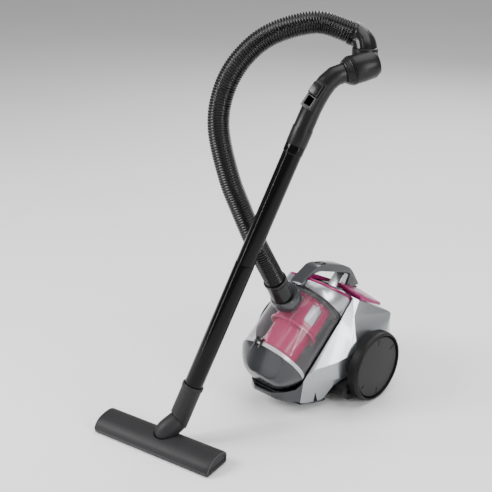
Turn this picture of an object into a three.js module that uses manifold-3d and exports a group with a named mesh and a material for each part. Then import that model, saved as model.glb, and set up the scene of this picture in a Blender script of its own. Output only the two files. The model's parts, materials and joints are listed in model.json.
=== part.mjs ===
// Bagless canister vacuum cleaner: canister on two big wheels and a front caster, lift-out dust bin,
// ribbed hose, bent hand grip, two-piece wand and floor head. Millimetres, +Z up.
// Built about the rear axle (x = 0 centre plane, y = 0 axle, front is -Y), then moved at the end so that
// the origin is under the middle of the whole object.
import * as THREE from 'three';
import { mergeVertices } from 'three/addons/utils/BufferGeometryUtils.js';
import Module from 'manifold-3d';

const wasm = await Module();
wasm.setup();

// ---------------------------------------------------------------- driving dimensions
const GAP = 0.4;                 // clearance between touching pieces
const WALL = 3;                  // moulded wall of the canister
const WHEEL_R = 73;              // rear wheel radius, also the axle height
const WHEEL_OUT = 136.5;           // outer face of the wheels from the centre plane
const TYRE_W = 25;               // width of a rear wheel
const AXLE_R = 5;                // rear axle radius
const WELL_R = WHEEL_R + 4;      // wheel well radius
const WELL_X = WHEEL_OUT - TYRE_W - 3; // inner wall of the wheel well
const CANISTER_HALF = 112;       // half width of the body over the wheels
const NOSE_Y = -199;             // foremost point of the body
const TAIL_Y = 131;              // rearmost point of the body
const SKIRT_Z = 12;              // height of the chassis skirt above the floor
const CHASSIS_TOP = 17;          // seam between chassis and body shell
const BIN_TILT = 53;             // degrees that the bin axis leans back from vertical
const BIN_FOOT = [0, -167, 103]; // bin axis at the seam between the cup and its base cap
const CUP_R = 68;                // outer radius of the clear cup
const CUP_WALL = 2;              // wall of the clear cup
const CUP_L = 144;               // base cap seam to lid seam, along the bin axis
const CAP_DEPTH = 44;            // depth of the base cap
const LID_R = 71;                // radius of the lid
const BIN_CLEAR = 1.6;           // clearance between the bin and its cradle
const INLET_L = 108;             // height of the inlet along the bin axis
const ELBOW_R = 31;              // ball of the inlet elbow
const ELBOW_AT = [0, -130, 228]; // centre of that ball
const CUFF_AT = [0, -136, 229];  // point on the hose cuff axis
const CUFF_LEAN = 30;            // degrees that the cuff leans forward
const CUFF_R = 22.3;             // hose cuff radius
const CUFF_L = 56;               // cuff length from that point
const HOSE_R = 20;               // hose outer radius
const TUBE_R = 17.5;             // wand tube radius
const TUBE_WALL = 1.4;           // wand tube wall
const NECK_L = 78;               // neck sleeve length
const LOWER_END = 329;           // joint between the two wand tubes, from the neck
const WAND_L = 559;              // neck ring to the grip, along the wand
const NECK_AT = [-42, -382, 48.6];   // centre of the neck ring
const WAND_PLAN = [0.522, 0.853];    // heading of the wand's lean, seen from above
const WAND_LEAN = 23.1;              // degrees that the wand leans from vertical
const KNUCKLE_AT = [-53, -411, 29];  // centre of the knuckle in the floor head
const GRIP_R = 17.5;             // hand grip radius
const DRUM_R = 25.5;             // swivel drum radius
const DRUM_L = 60;               // swivel drum length
const DRUM_LEAN = 76;            // degrees that the drum axis leans from vertical
const TILT_Z = 22;                // height of the floor head's tilt pin
const HEAD_W = 267;              // floor head width
const HEAD_D = 62;               // floor head depth
const HEAD_H = 29.5;              // floor head height
const HEAD_YAW = 9.9;            // degrees that the floor head is turned
const HEAD_AT = [-183.7, -471.8, 0]; // front left corner of the floor head
const CASTER_R = 11;             // caster wheel radius
const CASTER_AT = [0, -84];       // swivel axis of the caster
const CASTER_TRAIL = 7;          // caster wheel behind its swivel axis
const HANDLE_W = 28;             // carry handle width
const ROUND = 24;                // segments round a large turned piece
const SMALL = 14;                // segments round a small turned piece

// The hose lies in the air between its cuff and its end sleeve: points chosen along its route.
const HOSE_POINTS = [
  [0, -164.2, 277.9], [0, -176, 298.3], [-3, -201, 344], [-13, -217, 387], [-29, -227, 432], [-46, -237, 484],
  [-66, -244, 582], [-61, -234, 644], [-41, -214, 695], [-10, -175, 736], [45, -111, 757], [78, -86, 746.5],
  [90, -77, 741],
];
// The hand grip bends in the plane of the wand: forward along its lean, and up.
const GRIP_POINTS = [[0, 0], [15.7, 36.8], [29.5, 68], [44, 93], [57, 109], [69, 116.5], [82, 119.7]];
const SLEEVE_POINTS = [[90.7, -76.5, 740.7], [99, -70.5, 736.5], [112, -70, 727], [121, -75, 714], [125, -81, 698]];
const COLLAR_AT = [125, -81];        // vertical swivel axis between hose sleeve and swivel drum
const COLLAR_TOP = 720;              // flat seam of that swivel
const ON_CORD = ['hose_cuff', 'hose_tube', 'hose_sleeve'];

// ---------------------------------------------------------------- materials
const finish = (color, roughness, metalness = 0, extra = {}) =>
  new THREE.MeshStandardMaterial({ color, roughness, metalness, ...extra });
const SILVER = finish(0xb4b8bc, 0.3, 0.7);
const GUNMETAL = finish(0x54585d, 0.35, 0.5);
const CHARCOAL = finish(0x38363a, 0.6);
const BLACK = finish(0x161517, 0.3);
const GLOSS_BLACK = finish(0x101012, 0.12);
const RUBBER = finish(0x1a191b, 0.8);
const MAGENTA = finish(0xa01560, 0.25);
const CLEAR = finish(0xe8e8ec, 0.05, 0, { transparent: true, opacity: 0.3 });
const PALE = finish(0xc8cacd, 0.3);
const STEEL = finish(0x9a9a9a, 0.3, 1);
const FOAM = finish(0x8a8c90, 0.95);
const BRISTLE = finish(0x222224, 0.9);

// ---------------------------------------------------------------- small tools
const radians = THREE.MathUtils.degToRad;
const vec = (p) => new THREE.Vector3(...p);
const along = (p, dir, t) => vec(p).addScaledVector(dir, t);

// A closed geometry as a manifold solid whose faces point outwards.
function solid(geometry) {
  const plain = geometry.clone();
  plain.deleteAttribute('normal');
  plain.deleteAttribute('uv');
  const merged = mergeVertices(plain, 1e-4);
  const kept = [];
  const index = merged.index.array;
  for (let i = 0; i < index.length; i += 3) {
    const [a, b, c] = [index[i], index[i + 1], index[i + 2]];
    if (a !== b && b !== c && c !== a) kept.push(a, b, c);
  }
  const build = (tris) => new wasm.Manifold(new wasm.Mesh({
    numProp: 3,
    vertProperties: new Float32Array(merged.attributes.position.array),
    triVerts: new Uint32Array(tris),
  }));
  const made = build(kept);
  if (made.volume() >= 0) return made;
  const turned = [];
  for (let i = 0; i < kept.length; i += 3) turned.push(kept[i], kept[i + 2], kept[i + 1]);
  return build(turned);
}

function geometryOf(made) {
  const m = made.getMesh();
  const geometry = new THREE.BufferGeometry();
  geometry.setAttribute('position', new THREE.BufferAttribute(new Float32Array(m.vertProperties), 3));
  geometry.setIndex(new THREE.BufferAttribute(new Uint32Array(m.triVerts), 1));
  geometry.computeVertexNormals();
  return geometry;
}

// Cylinder or cone along +Z from z0 to z1.
function rod(r, z0, z1, sides = SMALL, rTop = r) {
  const g = new THREE.CylinderGeometry(rTop, r, z1 - z0, sides);
  g.rotateX(Math.PI / 2);
  g.translate(0, 0, (z0 + z1) / 2);
  return solid(g);
}

// Turned piece about +Z from [radius, z] points; a ring's profile closes on itself.
function turned(profile, sides = ROUND, ring = false) {
  const points = profile.map(([r, z]) => new THREE.Vector2(r, z));
  if (ring) points.push(points[0].clone());
  return solid(new THREE.LatheGeometry(points, sides).rotateX(Math.PI / 2));
}

// Outline with its corners rounded to about r.
function rounded(points, r) {
  const shape = new THREE.Shape();
  const count = points.length;
  points.forEach((p, i) => {
    const here = new THREE.Vector2(...p);
    const before = new THREE.Vector2(...points[(i + count - 1) % count]).sub(here);
    const after = new THREE.Vector2(...points[(i + 1) % count]).sub(here);
    const a = here.clone().addScaledVector(before.clone().normalize(), Math.min(r, before.length() * 0.45));
    const b = here.clone().addScaledVector(after.clone().normalize(), Math.min(r, after.length() * 0.45));
    if (i === 0) shape.moveTo(a.x, a.y);
    else shape.lineTo(a.x, a.y);
    shape.quadraticCurveTo(here.x, here.y, b.x, b.y);
  });
  shape.closePath();
  return shape;
}

const plainShape = (points) => new THREE.Shape(points.map((p) => new THREE.Vector2(...p)));
const extruded = (shape, depth, curveSegments) =>
  new THREE.ExtrudeGeometry(shape, { depth, bevelEnabled: false, curveSegments });

// Outline in (y, z) extruded across x from x0 to x1.
function acrossX(points, x0, x1, r = 0, fine = 3) {
  const g = extruded(r > 0 ? rounded(points, r) : plainShape(points), x1 - x0, fine);
  const basis = new THREE.Matrix4().makeBasis(vec([0, 1, 0]), vec([0, 0, 1]), vec([1, 0, 0]));
  return solid(g.applyMatrix4(basis).translate(x0, 0, 0));
}

// Outline in (x, z) extruded along y from y0 to y1.
function alongY(points, y0, y1, r = 0, fine = 3) {
  const g = extruded(r > 0 ? rounded(points, r) : plainShape(points), y1 - y0, fine);
  return solid(g.rotateX(Math.PI / 2).translate(0, y1, 0));
}

// Outline in (x, y) extruded up from z0 to z1.
function upZ(points, z0, z1, r = 0, fine = 3) {
  const g = extruded(r > 0 ? rounded(points, r) : plainShape(points), z1 - z0, fine);
  return solid(g.translate(0, 0, z0));
}

function block(x0, x1, y0, y1, z0, z1) {
  const g = new THREE.BoxGeometry(x1 - x0, y1 - y0, z1 - z0);
  return solid(g.translate((x0 + x1) / 2, (y0 + y1) / 2, (z0 + z1) / 2));
}

function ball(r, centre = [0, 0, 0], sides = 24) {
  return turned(Array.from({ length: 13 }, (_, i) => {
    const a = -Math.PI / 2 + (Math.PI * i) / 12;
    return [i % 12 ? r * Math.cos(a) : 0, r * Math.sin(a)];
  }), sides).translate(centre);
}

// Plan of a half outline [x, y] mirrored about the centre plane.
const mirrored = (half) => half.concat(half.filter(([x]) => x > 0).reverse().map(([x, y]) => [-x, y]));

// Moves a solid built about +Z so that +Z points along dir at a place.
function aimed(shape, dir, at = [0, 0, 0]) {
  const turn = new THREE.Quaternion().setFromUnitVectors(vec([0, 0, 1]), dir.clone().normalize());
  const m = new THREE.Matrix4().compose(vec(at), turn, vec([1, 1, 1]));
  return shape.transform(m.elements);
}

// Tube of a round or oval section along a curve through points.
function tubeAlong(points, r, sides, steps, squash = 1) {
  const section = new THREE.Shape();
  for (let i = 0; i < sides; i += 1) {
    const a = (2 * Math.PI * i) / sides;
    const [x, y] = [r * squash * Math.cos(a), r * Math.sin(a)];
    if (i === 0) section.moveTo(x, y);
    else section.lineTo(x, y);
  }
  section.closePath();
  const extrudePath = new THREE.CatmullRomCurve3(points.map((p) => (p.isVector3 ? p : vec(p))));
  return solid(new THREE.ExtrudeGeometry(section, { steps, extrudePath, bevelEnabled: false }));
}

// A wheel-like piece turned about the X axis: profile points are [radius, x].
const placedAxle = (shape, y, z, side = 1) => {
  const turn = new THREE.Matrix4().makeRotationY((side * Math.PI) / 2);
  turn.setPosition(0, y, z);
  return shape.transform(turn.elements);
};

// ---------------------------------------------------------------- frames of the assemblies
const binAxis = new THREE.Vector3(0, Math.sin(radians(BIN_TILT)), Math.cos(radians(BIN_TILT)));
const binOut = new THREE.Vector3(0, -binAxis.z, binAxis.y);
const cuffAxis = new THREE.Vector3(0, -Math.sin(radians(CUFF_LEAN)), Math.cos(radians(CUFF_LEAN)));
const wandPlan = new THREE.Vector3(WAND_PLAN[0], WAND_PLAN[1], 0).normalize();
const leaning = (deg) => wandPlan.clone().multiplyScalar(Math.sin(radians(deg)))
  .add(vec([0, 0, Math.cos(radians(deg))]));
const wandAxis = leaning(WAND_LEAN);
const drumAxis = leaning(DRUM_LEAN);
const gripAt = along(NECK_AT, wandAxis, WAND_L);
const gripPath = GRIP_POINTS.map(([s, z]) => gripAt.clone().addScaledVector(wandPlan, s).add(vec([0, 0, z])));
const drumAt = gripPath.at(-1).clone().addScaledVector(drumAxis, DRUM_L / 2 + 2 * GAP);
const swivelAxis = vec(NECK_AT).sub(vec(KNUCKLE_AT)).normalize();

// A group whose frame is the given place and turn.
function assembly(position, quaternion) {
  const group = new THREE.Group();
  group.position.set(...position);
  group.quaternion.copy(quaternion);
  group.updateMatrixWorld(true);
  return group;
}
const turnTo = (dir) => new THREE.Quaternion().setFromUnitVectors(vec([0, 0, 1]), dir);
const turnX = (deg) => new THREE.Quaternion().setFromAxisAngle(vec([1, 0, 0]), radians(deg));
const turnZ = (deg) => new THREE.Quaternion().setFromAxisAngle(vec([0, 0, 1]), radians(deg));

const canister = new THREE.Group();
const bin = assembly(BIN_FOOT, turnX(-BIN_TILT));
const hose = assembly(CUFF_AT, turnTo(cuffAxis));
const wand = assembly(NECK_AT, turnTo(wandAxis));
const floorHead = assembly(HEAD_AT, turnZ(HEAD_YAW));

// Solids made in one of those frames, moved to the canister's frame.
const placed = (group, shape) => shape.transform(group.matrixWorld.elements);

// Adds a solid given in the canister's frame as a named mesh that lives in its assembly's frame.
function add(group, name, shape, material) {
  const local = shape.transform(group.matrixWorld.clone().invert().elements);
  const made = new THREE.Mesh(geometryOf(local), material);
  made.name = name;
  group.add(made);
  return shape;
}

// A point of the bin in the centre plane: out from the bin axis, and up along it.
const onBin = (out, length) => {
  const p = along(BIN_FOOT, binAxis, length).addScaledVector(binOut, out);
  return [p.y, p.z];
};

// ---------------------------------------------------------------- canister body
const PLAN = mirrored([
  [0, NOSE_Y], [22, NOSE_Y + 3], [42, NOSE_Y + 17], [58, NOSE_Y + 42], [72, NOSE_Y + 80], [84, NOSE_Y + 103],
  [91, -82], [104, -50], [CANISTER_HALF, -15], [CANISTER_HALF, 30], [CANISTER_HALF - 5, 62],
  [CANISTER_HALF - 16, TAIL_Y - 41], [CANISTER_HALF - 33, TAIL_Y - 17], [54, TAIL_Y - 4], [0, TAIL_Y],
]);
const FRONT_VIEW = mirrored([
  [0, 0], [CANISTER_HALF, 0], [CANISTER_HALF, 92], [CANISTER_HALF - 4, 117], [97, 143], [84, 177], [79, 214],
  [0, 224],
]);
const CUP_TOP = CUP_L + GAP;
const LID_FRONT = CUP_L + 15.6;      // top of the lid above its front edge, along the bin axis
const LID_MIDDLE = CUP_L + 37.5;     // top of the lid over the bin axis
const LID_REAR = CUP_L + 42;         // top of the lid at its rear edge
const BIN_END = LID_REAR + 3;        // rear wall of the cradle
const DECK_FRONT = onBin(14, BIN_END - 3);
const DECK_REAR = [56, 187];
const DECK_EDGE = [[-20, 214], [54, 174]]; // the deck's outer edges, front and rear
const DECK_RISE = 0.24;               // how much the deck rises towards the centre plane
const SIDE_VIEW = [
  [NOSE_Y, 52], [NOSE_Y + 4, 41], [-165, 31], [-138, CHASSIS_TOP], [-100, CHASSIS_TOP], [-84, 44], [-62, 60], [62, 60],
  [84, 40], [108, 32], [TAIL_Y - 6, 44], [TAIL_Y, 74], [TAIL_Y - 5, 98], [112, 122], [94, 145], [74, 166],
  DECK_REAR, DECK_FRONT, onBin(0, CUP_L + 8), onBin(-18, CUP_L + 2), onBin(-30, 8), onBin(-44, -12), [-185, 54],
];
// Flat faces that shape the right side: outward normal and a point; the left side mirrors them.
const FLANKS = [
  { normal: [0.768, -0.466, 0.44], at: [62, -147, 80] },
  { normal: [0.908, -0.397, -0.13], at: [75, -98, SKIRT_Z + 2] },
  { normal: deckNormal().toArray(), at: [80, ...DECK_EDGE[1]] },
];

function deckNormal() {
  const [front, rear] = DECK_EDGE;
  const backwards = vec([0, rear[0] - front[0], rear[1] - front[1]]);
  return backwards.cross(vec([-1, 0, DECK_RISE])).normalize();
}

// Everything outside a flank on one side, moved out by a distance.
function beyond({ normal, at }, side, out = 0) {
  const dir = new THREE.Vector3(normal[0] * side, normal[1], normal[2]);
  const from = along([at[0] * side, at[1], at[2]], dir, out);
  return aimed(block(-400, 400, -400, 400, 0, 300), dir, from.toArray());
}

// The body as one solid block.
function bodyBlock() {
  let made = acrossX(SIDE_VIEW, -140, 140, 6, 2).intersect(upZ(PLAN, -10, 300))
    .intersect(alongY(FRONT_VIEW, -300, 300));
  FLANKS.forEach((flank) => {
    made = made.subtract(beyond(flank, 1)).subtract(beyond(flank, -1));
  });
  return made;
}

// A block shrunk about its middle so that a wall is left all round.
function shrunk(shape, wall) {
  const { min, max } = shape.boundingBox();
  const middle = min.map((low, i) => (low + max[i]) / 2);
  const factor = min.map((low, i) => 1 - (2 * wall) / (max[i] - low));
  return shape.translate(middle.map((m) => -m)).scale(factor).translate(middle);
}

// The space that the bin fills in its cradle, grown by a clearance and open to the outward side.
function cradleSpace(clear) {
  const r = LID_R + clear;
  const end = BIN_END + clear - BIN_CLEAR;
  const trough = turned([
    [0, -CAP_DEPTH - clear], [38 + clear, -CAP_DEPTH + 1 - clear], [56 + clear, -CAP_DEPTH + 10 - clear],
    [r - 3, -20 - clear], [r, -6], [r, end], [0, end],
  ]);
  const mouth = block(-r, r, -160, 0, -6, end);
  const capMouth = block(-r + 12, r - 12, -160, 0, -CAP_DEPTH - 30, 10);
  return placed(bin, trough.add(mouth).add(capMouth));
}

const wheelWell = (side) => placedAxle(rod(WELL_R, WELL_X, WELL_X + 60, ROUND), 0, WHEEL_R, side);
const GRILLE = { half: 26, z0: 58, z1: 98 };
const OUTLET = { x: 50, z: 66, r: 7 };
const PEDAL = { x0: 28, x1: 83, front: -15, back: 70 };
const CHIN_Y = -146;                 // seam between the chin bumper and the body shell

function bodyPieces() {
  const whole = bodyBlock();
  const belly = block(-86, 86, -81, 100, 0, 66).add(block(-70, 70, -88, 0, 0, 66))
    .add(block(-70, 70, -118, TAIL_Y - 20, 0, 44));
  const hollow = shrunk(whole, WALL).add(belly).subtract(cradleSpace(BIN_CLEAR + WALL));
  let shell = whole.subtract(cradleSpace(BIN_CLEAR)).subtract(hollow).subtract(belly);
  [1, -1].forEach((side) => {
    const x = side * (PEDAL.x0 + PEDAL.x1) / 2;
    shell = shell.subtract(wheelWell(side)).subtract(block(x - 14, x + 14, 14, 46, 150, 230));
  });
  const slotHalf = HANDLE_W / 2 + 3;
  shell = shell.subtract(acrossX([[-50, 214], DECK_EDGE[0], DECK_EDGE[1], [110, 155], [110, 260], [-50, 260]],
    -slotHalf, slotHalf));
  shell = shell.subtract(block(-GRILLE.half, GRILLE.half, TAIL_Y - 34, TAIL_Y + 9, GRILLE.z0, GRILLE.z1));
  const outletHole = aimed(rod(OUTLET.r + GAP, -40, 40), vec([0, 1, 0]), [OUTLET.x, TAIL_Y - 10, OUTLET.z]);
  shell = shell.subtract(outletHole);
  const biggest = (shape) => shape.decompose().sort((a, b) => b.volume() - a.volume())[0];
  const front = block(-200, 200, -300, CHIN_Y, -50, 300);
  const rear = block(-200, 200, CHIN_Y + GAP, 300, -50, 300);
  add(canister, 'chin_bumper', biggest(shell.intersect(front)), GUNMETAL);
  add(canister, 'body_shell', biggest(shell.intersect(rear)), SILVER);
}

const TUB = { half: 66, front: -112, back: 100, top: 58 };

function chassis() {
  const skirtSide = [
    [-146, CHASSIS_TOP - GAP], [-140, 15.5], [-120, 13], [-98, SKIRT_Z], [-93, 14], [-93, CHASSIS_TOP - GAP],
  ];
  const low = FLANKS[1];
  const skirt = upZ(PLAN, 0, 60).intersect(acrossX(skirtSide, -140, 140)).subtract(beyond(low, 1))
    .subtract(beyond(low, -1));
  const tub = acrossX([
    [TUB.front, SKIRT_Z], [TUB.back, SKIRT_Z], [TUB.back, TUB.top], [-92, TUB.top], [TUB.front, 44],
  ], -TUB.half, TUB.half);
  const inside = acrossX([
    [TUB.front + WALL, SKIRT_Z + WALL], [TUB.back - WALL, SKIRT_Z + WALL], [TUB.back - WALL, 90], [-90, 90],
    [TUB.front + WALL, 60],
  ], -TUB.half + WALL, TUB.half - WALL);
  const [cx, cy] = CASTER_AT;
  const wellTop = 38;
  const well = rod(25, -5, wellTop, ROUND).translate([cx, cy, 0]);
  const wellWall = rod(28, SKIRT_Z, wellTop + WALL, ROUND).translate([cx, cy, 0])
    .intersect(block(-100, 100, TUB.front, 100, 0, 100));
  const pinHole = rod(4.4, 0, 80).translate([cx, cy, 0]);
  const motorCradle = block(MOTOR.x0 + 6, MOTOR.x1 - 6, MOTOR.y - 24, MOTOR.y + 24, SKIRT_Z + 2, MOTOR.z - 20);
  const motorSpace = placedAxle(rod(MOTOR.r + GAP, -200, 200, ROUND), MOTOR.y, MOTOR.z);
  const reelPost = block(REEL.x0 - 6, REEL.x0 - 3, REEL.y - 10, REEL.y + 10, SKIRT_Z + 2, REEL.z + 8);
  const reelHole = placedAxle(rod(5.4, -100, 100), REEL.y, REEL.z);
  const made = skirt.add(tub.subtract(inside)).add(wellWall).add(motorCradle.subtract(motorSpace))
    .add(reelPost.subtract(reelHole)).subtract(well).subtract(pinHole);
  add(canister, 'chassis_base', made, GUNMETAL);
}

const BRACKET = { x0: 70, x1: 86, foot: 108, hole: [-58, 30], holeR: 5 };

function axleBracket(name, side) {
  const outline = [
    [-80, 30], [-60, 11], [30, 11], [44, 30], [26, 90], [-26, 90], [-50, 64], [-72, 48],
  ];
  const [x0, x1] = side > 0 ? [BRACKET.x0, BRACKET.x1] : [-BRACKET.x1, -BRACKET.x0];
  const low = [[-80, 30], [-60, 11], [30, 11], [44, 30], [40, 56], [-58, 56], [-76, 42]];
  const foot = side > 0 ? [x1 - 1, BRACKET.foot] : [-BRACKET.foot, x0 + 1];
  const across = (r, y, z) => placedAxle(rod(r, -200, 200), y, z);
  const made = acrossX(outline, x0, x1, 8).add(acrossX(low, ...foot, 8)).subtract(across(AXLE_R + GAP, 0, WHEEL_R))
    .subtract(across(BRACKET.holeR, ...BRACKET.hole));
  add(canister, name, made, CHARCOAL);
}

const PEDAL_H = 9;                   // height of a pedal above the deck
const PEDAL_TRAVEL = 1.6;            // degrees that a pedal can be pressed
const PEDAL_HINGE_Z = 214;           // height of the pedals' hinge line

function pedal(name, side) {
  const [x0, x1] = side > 0 ? [PEDAL.x0, PEDAL.x1] : [-PEDAL.x1, -PEDAL.x0];
  const middle = (x0 + x1) / 2;
  const deck = FLANKS[2];
  const slab = block(x0, x1, PEDAL.front, PEDAL.back, 150, 260).subtract(beyond(deck, side, PEDAL_H));
  const above = beyond(deck, side).translate([0, -PEDAL.front, -PEDAL_HINGE_Z]).rotate([PEDAL_TRAVEL, 0, 0])
    .translate([0, PEDAL.front, PEDAL_HINGE_Z + 2 * GAP]);
  const stem = block(middle - 9, middle + 9, 20, 40, 170, 196);
  const ahead = placed(bin, block(-200, 200, -200, 200, -100, BIN_END + 2));
  add(canister, name, slab.intersect(above).add(stem).subtract(ahead), MAGENTA);
}

// ---------------------------------------------------------------- inside the canister
const MOTOR = { x0: -60, x1: 4, y: 54, z: 92, r: 34 };
const REEL = { x0: 18, x1: 58, y: 52, z: 86, r: 40 };

function innerPieces() {
  const across = (shape, x, y, z) => placedAxle(shape, y, z).translate([x, 0, 0]);
  const length = MOTOR.x1 - MOTOR.x0;
  const can = turned([
    [12, 0], [MOTOR.r - 6, 0], [MOTOR.r, 5], [MOTOR.r, length], [MOTOR.r - 2.5, length], [MOTOR.r - 2.5, 6],
    [12, 3],
  ], 20, true);
  add(canister, 'motor_housing', across(can, MOTOR.x0, MOTOR.y, MOTOR.z), GUNMETAL);
  const rotor = turned([
    [0, -6], [4, -6], [4, 10], [22, 10], [22, 40], [5, 40], [5, 46], [29, 48], [29, 56], [5, 58], [5, 62], [0, 62],
  ], 16);
  add(canister, 'motor_rotor', across(rotor, MOTOR.x0, MOTOR.y, MOTOR.z), STEEL);
  const drum = turned([
    [5.8, 0], [REEL.r, 0], [REEL.r, 3], [20, 3], [20, REEL.x1 - REEL.x0 - 3], [REEL.r, REEL.x1 - REEL.x0 - 3],
    [REEL.r, REEL.x1 - REEL.x0], [5.8, REEL.x1 - REEL.x0],
  ], 20, true);
  add(canister, 'cord_reel', across(drum, REEL.x0, REEL.y, REEL.z), BLACK);
  const spindle = rod(5, -8, REEL.x1 - REEL.x0 + 2).add(rod(7.5, -2.4, -0.6));
  add(canister, 'reel_spindle', across(spindle, REEL.x0, REEL.y, REEL.z), STEEL);
  add(canister, 'exhaust_filter', block(-24, 24, TAIL_Y - 22, TAIL_Y - 12, GRILLE.z0 + 1, GRILLE.z1 - 1), FOAM);
  let grille = block(-GRILLE.half + GAP, GRILLE.half - GAP, TAIL_Y - 9, TAIL_Y - 5, GRILLE.z0 + GAP,
    GRILLE.z1 - GAP);
  for (let z = GRILLE.z0 + 6; z < GRILLE.z1 - 6; z += 6) {
    grille = grille.subtract(block(-20, 20, TAIL_Y - 20, TAIL_Y, z, z + 3));
  }
  add(canister, 'exhaust_grille', grille, CHARCOAL);
  const gland = turned([
    [3.2, 0], [OUTLET.r, 0], [OUTLET.r, 20], [OUTLET.r + 2.5, 20.5], [OUTLET.r + 2.5, 23], [3.2, 23],
  ], SMALL, true);
  add(canister, 'cord_outlet', aimed(gland, vec([0, 1, 0]), [OUTLET.x, TAIL_Y - 22, OUTLET.z]), CHARCOAL);
}

// ---------------------------------------------------------------- wheels
const TYRE_IN = WHEEL_OUT - TYRE_W;
const HUB_X = WHEEL_OUT - 9;         // end of the axle in the hub
const SEAT_R = WHEEL_R - 19;         // where the tyre sits on its disc
const RIM_R = WHEEL_R - 7;           // inner edge of the raised rim

function rearWheel(side, where) {
  const tyre = turned([
    [SEAT_R, TYRE_IN], [WHEEL_R - 3, TYRE_IN], [WHEEL_R, TYRE_IN + 3], [WHEEL_R, WHEEL_OUT - 8],
    [WHEEL_R - 2, WHEEL_OUT - 3], [WHEEL_R - 5, WHEEL_OUT], [RIM_R + 1, WHEEL_OUT], [RIM_R, WHEEL_OUT - 1],
    [RIM_R, WHEEL_OUT - 12], [SEAT_R, WHEEL_OUT - 12],
  ], ROUND, true);
  add(canister, `tyre_${where}`, placedAxle(tyre, 0, WHEEL_R, side), RUBBER);
  const face = RIM_R - 2.2;
  const bore = AXLE_R + GAP;
  const disc = turned([
    [0, HUB_X + GAP], [bore, HUB_X + GAP], [bore, TYRE_IN + 2], [16, TYRE_IN + 2], [16, TYRE_IN + 8],
    [SEAT_R - GAP, TYRE_IN + 8], [SEAT_R - GAP, WHEEL_OUT - 11.5], [face, WHEEL_OUT - 11.5],
    [face, WHEEL_OUT - 4], [face - 1.5, WHEEL_OUT - 2.8], [0, WHEEL_OUT - 2.4],
  ]);
  add(canister, `wheel_disc_${where}`, placedAxle(disc, 0, WHEEL_R, side), CHARCOAL);
  const axle = rod(AXLE_R, BRACKET.x0 - 1, HUB_X).add(rod(9, BRACKET.foot + GAP, TYRE_IN + 1));
  add(canister, `axle_${where}`, placedAxle(axle, 0, WHEEL_R, side), STEEL);
}

function caster() {
  const [cx, cy] = CASTER_AT;
  const wy = cy + CASTER_TRAIL;
  const cheek = (x0, x1) => acrossX([[wy - 5, 6], [wy + 5, 6], [cy + 9, 24], [cy - 9, 24]], x0, x1, 2, 2);
  const axis = placedAxle(rod(2.4, -40, 40, 8), wy, CASTER_R);
  const fork = cheek(7.4, 10).add(cheek(-10, -7.4)).subtract(axis)
    .add(rod(13, 23.6, 27, 24).translate([cx, cy, 0])).add(rod(4, 26, 43).translate([cx, cy, 0]));
  add(canister, 'caster_fork', fork, CHARCOAL);
  const wheel = turned([
    [2.4, -6.6], [CASTER_R - 1.5, -6.6], [CASTER_R, -5], [CASTER_R, 5], [CASTER_R - 1.5, 6.6], [2.4, 6.6],
  ], 16, true);
  add(canister, 'caster_wheel', placedAxle(wheel, wy, CASTER_R), RUBBER);
  add(canister, 'caster_pin', placedAxle(rod(2, -11, 11, 14), wy, CASTER_R), STEEL);
}

// ---------------------------------------------------------------- dust bin
const INLET_R = 16;                  // outside of the inlet spigot
const VENT_COUNT = 6;                // windows round the upper cyclone

function cup() {
  const wall = turned([[CUP_R - CUP_WALL, 8], [CUP_R, 8], [CUP_R, CUP_L], [CUP_R - CUP_WALL, CUP_L]], 28, true);
  const port = aimed(rod(INLET_R + GAP, 40, 90), vec([0, -1, 0]), [0, 0, INLET_L]);
  add(bin, 'bin_cup', placed(bin, wall.subtract(port)), CLEAR);
  const band = turned([[CUP_R - CUP_WALL, 0], [CUP_R + 1, 0], [CUP_R + 1, 7], [CUP_R, 7.6],
    [CUP_R - CUP_WALL, 7.6]], 28, true);
  add(bin, 'bin_band', placed(bin, band), PALE);
}

function baseCap() {
  const outer = CUP_R + 1;
  const cap = turned([
    [0, -CAP_DEPTH], [32, -CAP_DEPTH + 1], [47, -CAP_DEPTH + 10], [59, -20], [outer - 2, -7], [outer, -GAP],
    [outer - 3, -GAP], [outer - 5, -7], [56, -18.5], [45, -CAP_DEPTH + 12.5], [31, -CAP_DEPTH + 4],
    [0, -CAP_DEPTH + 3],
  ], 24);
  add(bin, 'base_cap', placed(bin, cap), GUNMETAL);
  const hook = (x0, x1) => block(x0, x1, -outer - 4, -outer - GAP, -9, 12);
  const clasp = hook(-9, -5).add(hook(5, 9)).add(block(-9, 9, -outer - 4, -outer - 1, 3, 7));
  add(bin, 'base_catch', placed(bin, clasp), BLACK);
  const pin = aimed(rod(1.2, -7, 7, 8), vec([1, 0, 0]), [0, outer + 1.3, -1.6]);
  add(bin, 'cap_hinge_pin', placed(bin, pin), STEEL);
}

function cyclone() {
  const top = CUP_L - 3;
  let upper = turned([[43, 84], [46, 84], [46, top], [43, top]], 24, true);
  for (let i = 0; i < VENT_COUNT; i += 1) {
    const vent = block(-13, 13, 30, 60, 92, top - 10).rotate([0, 0, (360 * i) / VENT_COUNT]);
    upper = upper.subtract(vent);
  }
  add(bin, 'cyclone_upper', placed(bin, upper), MAGENTA);
  const flange = turned([[40.6, 78], [49, 72.5], [51, 73], [51, 78], [47, 83.6], [40.6, 83.6]], 28, true);
  add(bin, 'cyclone_flange', placed(bin, flange), MAGENTA);
  const lower = turned([[36, 12], [48, 12], [48, 15], [40, 18], [40, 77], [36, 77]], 28, true);
  add(bin, 'cyclone_lower', placed(bin, lower), MAGENTA);
  const core = turned([[38, 85], [42.6, 85], [42.6, top - 1], [38, top - 1]], 24, true);
  add(bin, 'filter_cartridge', placed(bin, core), PALE);
}

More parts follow.
